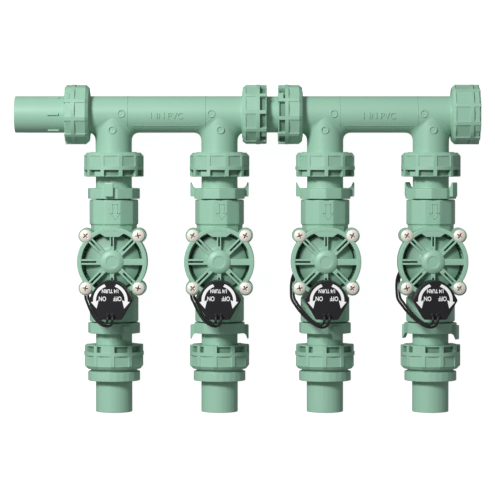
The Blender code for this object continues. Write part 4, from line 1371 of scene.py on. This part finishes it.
class MANIFOLD_OT_bonnets(bpy.types.Operator):
    """Build the four spoked bonnets."""

    bl_idname = "manifold.bonnets"
    bl_label = "Bonnets"

    def execute(self, context):
        """Ring, dished floor, dome, spokes, lintel, bosses and socket."""
        valve = context.scene.manifold_valve
        for number in VALVES:
            self.bonnet(valve, number)
        return {"FINISHED"}

    def bonnet(self, valve, number):
        """One bonnet about its valve's centre."""
        node = f"valve_{number}_bonnet"
        low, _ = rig.box(node)
        bottom = low[2]
        upright = Matrix.Translation(valve_centre(number))
        top = valve.ring_top
        groove = bottom + 2.6 * MM
        inside = valve.ring_inside
        bm = bmesh.new()
        ring = rounded(
            [(inside, bottom + MM), (valve.bowl_radius, bottom, 0, 0.4 * MM),
             (valve.bowl_radius, top, 0, 1.1 * MM), (inside, top, 0, 0.7 * MM)]
        )
        revolve(bm, ring, even_angles(128), matrix=upright)
        dome = valve.dome_radius
        floor = rounded(
            [
                (0, 54 * MM), (24.4 * MM, 54 * MM, 0, 0), (24.5 * MM, bottom + 0.9 * MM, 0, 0),
                (inside + 0.6 * MM, bottom + 0.9 * MM), (inside + 0.6 * MM, groove),
                (25.4 * MM, groove, 0, 0.3 * MM),
                (25.1 * MM, 57.0 * MM, 0, 0.8 * MM), (13.6 * MM, 59.4 * MM, 0, 2 * MM),
                (dome, 60.2 * MM, 0, 1.2 * MM),
                (dome - 0.3 * MM, 64.0 * MM, 0, 2.0 * MM), (dome - 4.2 * MM, 65.6 * MM, 0, 1.5 * MM),
                (5.2 * MM, 65.75 * MM, 0, 0.3 * MM), (4.9 * MM, 65.4 * MM, 0, 0.3 * MM), (0, 65.4 * MM),
            ],
            closed=False,
        )
        revolve(bm, floor, even_angles(128), matrix=upright, closed=False)
        for spoke in range(valve.spokes):
            self.spoke(bm, valve, upright, spoke, groove)
        self.lintel(bm, valve, upright, groove)
        boss_top = 63.0 * MM
        boss = rounded(
            [(0, bottom), (valve.boss_radius, bottom, 0, 0.4 * MM),
             (valve.boss_radius - 0.25 * MM, boss_top + 0.3 * MM, 0, 0.9 * MM),
             (valve.screw_radius + 0.35 * MM, boss_top + 0.3 * MM, 0, 0.2 * MM),
             (valve.screw_radius + 0.3 * MM, boss_top, 0, 0.2 * MM), (0, boss_top)],
            closed=False,
        )
        for x, y in boss_places(valve):
            revolve(bm, boss, even_angles(56), matrix=upright @ Matrix.Translation((x, y, 0)), closed=False)
        foot = solenoid_foot(number)
        socket = rounded(
            [(9.9 * MM, 56.3 * MM), (9.9 * MM, 66.0 * MM), (13.5 * MM, 66.0 * MM), (13.5 * MM, bottom),
             (0, bottom), (0, 56.3 * MM)][::-1],
            closed=False,
        )
        revolve(bm, socket, even_angles(64), matrix=Matrix.Translation(foot), closed=False)
        centre = valve_centre(number)

        # Painted shade inside the ring: darker the lower a point lies below 61 mm, and darker still near the ring's
        # inner wall; nothing outside the ring.
        def painted_shade_of(place):
            out_from_centre = math.hypot(place.x - centre.x, place.y - centre.y)
            if out_from_centre > inside + 0.1 * MM:
                return 0.0
            edge = 0.35 if out_from_centre > 25.2 * MM else 0.0
            return (61.0 * MM - place.z) / (6.5 * MM) + edge

        piece = shade_recesses(finished(bm, node + "_moulding", green()), painted_shade_of)
        declare(piece, ROOT, "bonnet_plastic", node)

    def spoke(self, bm, valve, upright, index, groove):
        """Two thin walls with a slot between them; the one at +X is solid and the one at -Y short."""
        angle = index * math.tau / valve.spokes
        turn = Matrix.Rotation(angle, 4, "Z")
        inner, outer = 9.5 * MM, valve.ring_inside + 0.8 * MM
        narrow = index == 2
        solid = index == 0
        width = 3.9 * MM if narrow or index == 6 else valve.spoke_width
        top = valve.ring_top - 0.25 * MM
        if index == 6:
            outer = 17.5 * MM
        size = (outer - inner, width, top - groove)
        place = Matrix.Translation(((outer + inner) / 2, 0, (top + groove) / 2))
        if solid:
            block(bm, (size[0], width + 0.6 * MM, size[2]), upright @ turn @ place, 0.45 * MM)
            return
        slot = 1.5 * MM if narrow else valve.slot_width
        wall = (width - slot) / 2
        for side in (-1, 1):
            offset = Matrix.Translation((0, side * (width - wall) / 2, 0))
            block(bm, (size[0], wall, size[2]), upright @ turn @ place @ offset, 0.35 * MM)
        slot_floor = top - 7.6 * MM
        floor = Matrix.Translation(((outer + inner) / 2, 0, (slot_floor + groove) / 2))
        block(bm, (size[0], slot + 0.4 * MM, slot_floor - groove), upright @ turn @ floor)
        closing = 3.6 * MM
        near = Matrix.Translation((12.4 * MM, 0, (top + groove) / 2))
        block(bm, (closing, slot + 0.4 * MM, top - groove - 0.2 * MM), upright @ turn @ near)

    def lintel(self, bm, valve, upright, groove):
        """The solid plate that fills the ring at the inlet side."""
        top = valve.ring_top - 0.1 * MM
        edge = 22.6 * MM
        outline = [(6.6 * MM, edge), (10.4 * MM, 25.8 * MM)]
        outline += arc(valve.ring_inside + 0.8 * MM, 66, 114, 10)
        outline += [(-10.4 * MM, 25.8 * MM), (-6.6 * MM, edge)]
        prism(bm, outline, groove, top, upright, 0.5 * MM)


def screws_tree():
    """Node tree that sets one screw at each boss, turned a little differently."""
    tree = bpy.data.node_groups.new("Cover screws", "GeometryNodeTree")
    tree.interface.new_socket(name="Screw", in_out="INPUT", socket_type="NodeSocketGeometry")
    for label, kind in (("Count", "NodeSocketInt"), ("Radius", "NodeSocketFloat"), ("Seed", "NodeSocketInt")):
        tree.interface.new_socket(name=label, in_out="INPUT", socket_type=kind)
    tree.interface.new_socket(name="Screws", in_out="OUTPUT", socket_type="NodeSocketGeometry")
    nodes, links = tree.nodes, tree.links
    given = nodes.new("NodeGroupInput")
    out = nodes.new("NodeGroupOutput")
    circle = nodes.new("GeometryNodeMeshCircle")
    links.new(given.outputs["Count"], circle.inputs["Vertices"])
    links.new(given.outputs["Radius"], circle.inputs["Radius"])
    instances = nodes.new("GeometryNodeInstanceOnPoints")
    links.new(circle.outputs["Mesh"], instances.inputs["Points"])
    links.new(given.outputs["Screw"], instances.inputs["Instance"])
    random = nodes.new("FunctionNodeRandomValue")
    random.data_type = "FLOAT_VECTOR"
    low = next(s for s in random.inputs if s.name == "Min" and s.type == "VECTOR")
    high = next(s for s in random.inputs if s.name == "Max" and s.type == "VECTOR")
    low.default_value = (0, 0, 0)
    high.default_value = (0, 0, math.pi / 2)
    links.new(given.outputs["Seed"], random.inputs["Seed"])
    turns = next(s for s in random.outputs if s.type == "VECTOR")
    links.new(turns, instances.inputs["Rotation"])
    realize = nodes.new("GeometryNodeRealizeInstances")
    links.new(instances.outputs["Instances"], realize.inputs["Geometry"])
    links.new(realize.outputs["Geometry"], out.inputs["Screws"])
    return tree


def set_input(modifier, label, value):
    """Set a node modifier's input by its label."""
    for item in modifier.node_group.interface.items_tree:
        if item.item_type == "SOCKET" and item.in_out == "INPUT" and item.name == label:
            modifier[item.identifier] = value
            return
    raise KeyError(label)


class MANIFOLD_OT_screws(bpy.types.Operator):
    """Build the cover screws, four on each bonnet."""

    bl_idname = "manifold.screws"
    bl_label = "Cover screws"

    def execute(self, context):
        """One screw is made, then set four times by a node tree."""
        valve = context.scene.manifold_valve
        tree = screws_tree()
        seat = 63.0 * MM
        for number in VALVES:
            screw = self.screw(valve, f"valve_{number}_cover_screws", seat)
            modifier = screw.modifiers.new("Cover screws", "NODES")
            modifier.node_group = tree
            set_input(modifier, "Count", 4)
            set_input(modifier, "Radius", valve.boss_at * math.sqrt(2))
            set_input(modifier, "Seed", number)
            plain_mesh(screw)
            turn = Matrix.Rotation(math.pi / 4, 4, "Z")
            screw.data.transform(Matrix.Translation(valve_centre(number)) @ turn)
            declare(screw, ROOT, "plunger_steel")
        return {"FINISHED"}

    def screw(self, valve, name, seat):
        """A pan head with a cross recess on a short shank, at the origin."""
        r = valve.screw_radius
        bm = bmesh.new()
        profile = rounded(
            [(0, seat - 8 * MM), (2.2 * MM, seat - 8 * MM), (2.2 * MM, seat + 0.05 * MM),
             (r, seat + 0.05 * MM, 0, 0.3 * MM),
             (r, seat + 1.3 * MM, 0, 1.0 * MM), (r * 0.55, seat + 2.6 * MM, 0, 1.5 * MM),
             (0, seat + 2.9 * MM)],
            closed=False,
        )
        revolve(bm, profile, even_angles(40), closed=False)
        piece = finished(bm, name, screw_metal())
        outline = [
            (-2.9 * MM, 0.0), (-0.9 * MM, -2.4 * MM), (0.9 * MM, -2.4 * MM),
            (2.9 * MM, 0.0), (2.9 * MM, MM), (-2.9 * MM, MM),
        ]
        stand = Matrix(((1, 0, 0, 0), (0, 0, 1, 0), (0, 1, 0, seat + 2.7 * MM), (0, 0, 0, 1)))
        for angle in (0, math.pi / 2):
            arm = bmesh.new()
            prism(arm, outline, -0.55 * MM, 0.55 * MM, Matrix.Rotation(angle, 4, "Z") @ stand)
            bmesh.ops.recalc_face_normals(arm, faces=arm.faces)
            cut(piece, arm)
        piece.modifiers.clear()
        piece.data.materials.append(screw_recess_painted_shade())
        # Painted shade: the cross recess's walls and its deeper floor take the dark recess colour instead of zinc.
        for face in piece.data.polygons:
            x, y, z = face.center
            if max(abs(x), abs(y)) < 3 * MM and min(abs(x), abs(y)) < 0.6 * MM and seat < z < seat + 2.6 * MM:
                face.material_index = 1 if abs(face.normal.z) < 0.9 or z < seat + 2 * MM else 0
        return piece


# ---------------------------------------------------------------- solenoids


class MANIFOLD_OT_solenoids(bpy.types.Operator):
    """Build the solenoids with their print, and finish what is inside."""

    bl_idname = "manifold.solenoids"
    bl_label = "Solenoids"

    def execute(self, context):
        """Housing and print ride the solenoid's body."""
        settings = context.scene.manifold_solenoid
        for number in VALVES:
            self.housing(settings, number)
            self.print_marks(settings, number)
            self.inside(number)
        return {"FINISHED"}

    def housing(self, settings, number):
        """A tall hexagonal cap on a threaded stem."""
        node = f"valve_{number}_solenoid"
        low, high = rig.box(node)
        foot = solenoid_foot(number)
        r = settings.radius
        flat = r * math.cos(math.pi / 6)
        outline = [(r * math.cos(a), r * math.sin(a)) for a in map(math.radians, (180, 240, 300, 360))]
        outline += arc(flat, 30, 150, 16)
        bottom = 66.3 * MM
        bm = bmesh.new()
        prism(bm, outline, bottom, high[2], Matrix.Translation(foot), 0.9 * MM, 3)
        stem = rounded(
            [(5 * MM, low[2]), (9.5 * MM, low[2]), (9.5 * MM, bottom + 2 * MM), (0, bottom + 2 * MM),
             (0, bottom + 1.5 * MM),
             (5 * MM, bottom + 1.5 * MM)],
            closed=True,
        )
        revolve(bm, stem, even_angles(48), matrix=Matrix.Translation(foot))
        for side in (-1, 1):
            low_end, high_end = high[2] - MM, high[2] + 0.25 * MM
            sleeve = [(0, low_end), (1.9 * MM, low_end), (1.7 * MM, high_end), (0, high_end)]
            sleeve = rounded(sleeve, 0.2 * MM, closed=False)
            sleeve_at = Matrix.Translation(foot + Vector((side * 2.25 * MM, -13.5 * MM, 0)))
            revolve(bm, sleeve, even_angles(24), matrix=sleeve_at, closed=False)
        declare(finished(bm, node + "_housing", black()), node, "black_plastic", node)

    def print_marks(self, settings, number):
        """Two curved arrows and the turning marks, upside down as they are seen from the valve's inlet."""
        node = f"valve_{number}_solenoid"
        _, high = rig.box(node)
        foot = solenoid_foot(number)
        top = high[2]
        bm = bmesh.new()
        middle_r, half = settings.arrow_radius, 1.3 * MM
        head = round_point(middle_r, math.radians(-4), 0)
        for side in (1, -1):
            mirror = Matrix.Diagonal((side, 1, 1, 1))
            outline = arc(middle_r + half, 70, -4, 14) + [
                (head.x + 3.2 * MM, head.y - 0.6 * MM),
                (12.3 * MM, -7.3 * MM),
                (head.x - 3.6 * MM, head.y + 1.2 * MM),
            ] + arc(middle_r - half, -4, 72, 14)
            prism(bm, outline, top - 0.02 * MM, top + 0.05 * MM, Matrix.Translation(foot) @ mirror)
        arrows = finished(bm, node + "_arrows", print_white())
        arrows.modifiers.clear()
        declare(arrows, node, "black_plastic")
        for label, words, place, size in (
            ("turn", "1/4 TURN", (0.0, 8.4), 3.7), ("on", "ON", (-7.1, 1.65), 4.3),
            ("off", "OFF", (6.3, 1.65), 4.3),
        ):
            mesh = lettering(words, size * MM * 1.28, 0.03 * MM, 0.00012)
            place_at = Matrix.Translation(foot + Vector((place[0] * MM, place[1] * MM, top + 0.02 * MM)))
            mesh.transform(place_at @ Matrix.Rotation(math.pi, 4, "Z") @ Matrix.Diagonal((0.77, 1, 1, 1)))
            declare(show(mesh, f"{node}_{label}_print", print_white()), node, "black_plastic")

    def inside(self, number):
        """Better materials on the plunger and the diaphragm, which stay as the CAD has them."""
        for part, material in (("plunger", steel()), ("diaphragm", rubber())):
            obj = bpy.data.objects[f"valve_{number}_{part}"]
            for slot in obj.material_slots:
                slot.link = "OBJECT"
                slot.material = material


# ---------------------------------------------------------------- studio


class MANIFOLD_OT_studio(bpy.types.Operator):
    """Build the floor, the lights and the camera."""

    bl_idname = "manifold.studio"
    bl_label = "Studio"

    def execute(self, context):
        """A white floor, a soft light from the upper left, and a camera almost overhead."""
        scene = context.scene
        studio = scene.manifold_studio
        mesh = bpy.data.meshes.new("floor")
        mesh.from_pydata([(-6, -6, 0), (6, -6, 0), (6, 6, 0), (-6, 6, 0)], [], [(0, 1, 2, 3)])
        floor = bpy.data.objects.new("floor", mesh)
        scene.collection.objects.link(floor)
        mesh.materials.append(self.floor_paper())
        floor.visible_diffuse = False
        floor.visible_glossy = False
        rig.stage(floor)
        world = bpy.data.worlds.new("Studio world")
        world.use_nodes = True
        background = world.node_tree.nodes["Background"]
        background.inputs["Color"].default_value = (1.0, 1.0, 1.0, 1.0)
        background.inputs["Strength"].default_value = studio.sky
        scene.world = world
        self.light("key", (-0.95, 1.0, 1.6), 0.5, studio.key)
        self.camera(scene, studio)
        scene.view_settings.view_transform = "Standard"
        scene.view_settings.look = "None"
        return {"FINISHED"}

    def floor_paper(self):
        """White paper lit from behind, so that hardly a shadow falls on it."""
        paper = simple("Floor", (0.25, 0.25, 0.25), 0.9)
        shader = paper.node_tree.nodes["Principled BSDF"]
        shader.inputs["Specular IOR Level"].default_value = 0.0
        shader.inputs["Emission Color"].default_value = (1.0, 1.0, 1.0, 1.0)
        shader.inputs["Emission Strength"].default_value = 0.95
        return paper

    def light(self, name, place, size, power):
        """A square soft light aimed at the object."""
        data = bpy.data.lights.new(name, "AREA")
        data.size = size
        data.energy = power
        light = bpy.data.objects.new(name, data)
        light.location = place
        light.rotation_euler = (-Vector(place)).to_track_quat("-Z", "Y").to_euler()
        bpy.context.scene.collection.objects.link(light)
        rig.stage(light)

    def camera(self, scene, studio):
        """A long lens over the object, leaning toward the header, with +Y up in the picture."""
        data = bpy.data.cameras.new("camera")
        camera = bpy.data.objects.new("camera", data)
        scene.collection.objects.link(camera)
        target = Vector((0.37 * MM, 0.7 * MM, header_line().z))
        back = Vector((0.0, math.sin(studio.tilt), math.cos(studio.tilt)))
        up = Vector((0.0, math.cos(studio.tilt), -math.sin(studio.tilt)))
        right = up.cross(back)
        basis = Matrix((right, up, back)).transposed().to_4x4()
        camera.matrix_world = Matrix.Translation(target + back * studio.distance) @ basis
        data.sensor_width = 36.0
        data.lens = data.sensor_width * studio.distance / studio.field
        scene.camera = camera
        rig.stage(camera)


# ---------------------------------------------------------------- add-on


class MANIFOLD_PT_panel(bpy.types.Panel):
    """Sidebar panel with the settings and the operators."""

    bl_idname = "MANIFOLD_PT_panel"
    bl_label = "Irrigation valve manifold"
    bl_space_type = "VIEW_3D"
    bl_region_type = "UI"
    bl_category = "Manifold"

    def draw(self, context):
        """Show every setting, then a button for each piece."""
        for name in SETTINGS:
            settings = getattr(context.scene, name)
            box = self.layout.box()
            for key in settings.__annotations__:
                box.prop(settings, key)
        for operator in OPERATORS:
            self.layout.operator(operator.bl_idname)


SETTINGS = {
    "manifold_look": ManifoldLook,
    "manifold_nut": NutSettings,
    "manifold_pipe": PipeSettings,
    "manifold_valve": ValveSettings,
    "manifold_solenoid": SolenoidSettings,
    "manifold_studio": StudioSettings,
}
OPERATORS = (
    MANIFOLD_OT_studio,
    MANIFOLD_OT_leads,
    MANIFOLD_OT_header,
    MANIFOLD_OT_adapters,
    MANIFOLD_OT_nuts,
    MANIFOLD_OT_bodies,
    MANIFOLD_OT_bonnets,
    MANIFOLD_OT_screws,
    MANIFOLD_OT_solenoids,
)


def register():
    """Register the settings, the operators and the panel."""
    for name, group in SETTINGS.items():
        bpy.utils.register_class(group)
        setattr(bpy.types.Scene, name, PointerProperty(type=group))
    for operator in OPERATORS:
        bpy.utils.register_class(operator)
    bpy.utils.register_class(MANIFOLD_PT_panel)


def unregister():
    """Remove what register added."""
    bpy.utils.unregister_class(MANIFOLD_PT_panel)
    for operator in reversed(OPERATORS):
        bpy.utils.unregister_class(operator)
    for name, group in SETTINGS.items():
        delattr(bpy.types.Scene, name)
        bpy.utils.unregister_class(group)


def main():
    """Load the frame, build everything and write the two boxes."""
    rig.load()
    cad_box = [list(corner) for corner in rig.bounds()]
    register()
    for operator in OPERATORS:
        category, name = operator.bl_idname.split(".")
        getattr(getattr(bpy.ops, category), name)()
    visual_box = [list(corner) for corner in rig.bounds()]
    with open("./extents.json", "w", encoding="utf-8") as out:
        json.dump({"cad": cad_box, "visual": visual_box}, out)


if __name__ == "__main__":
    main()
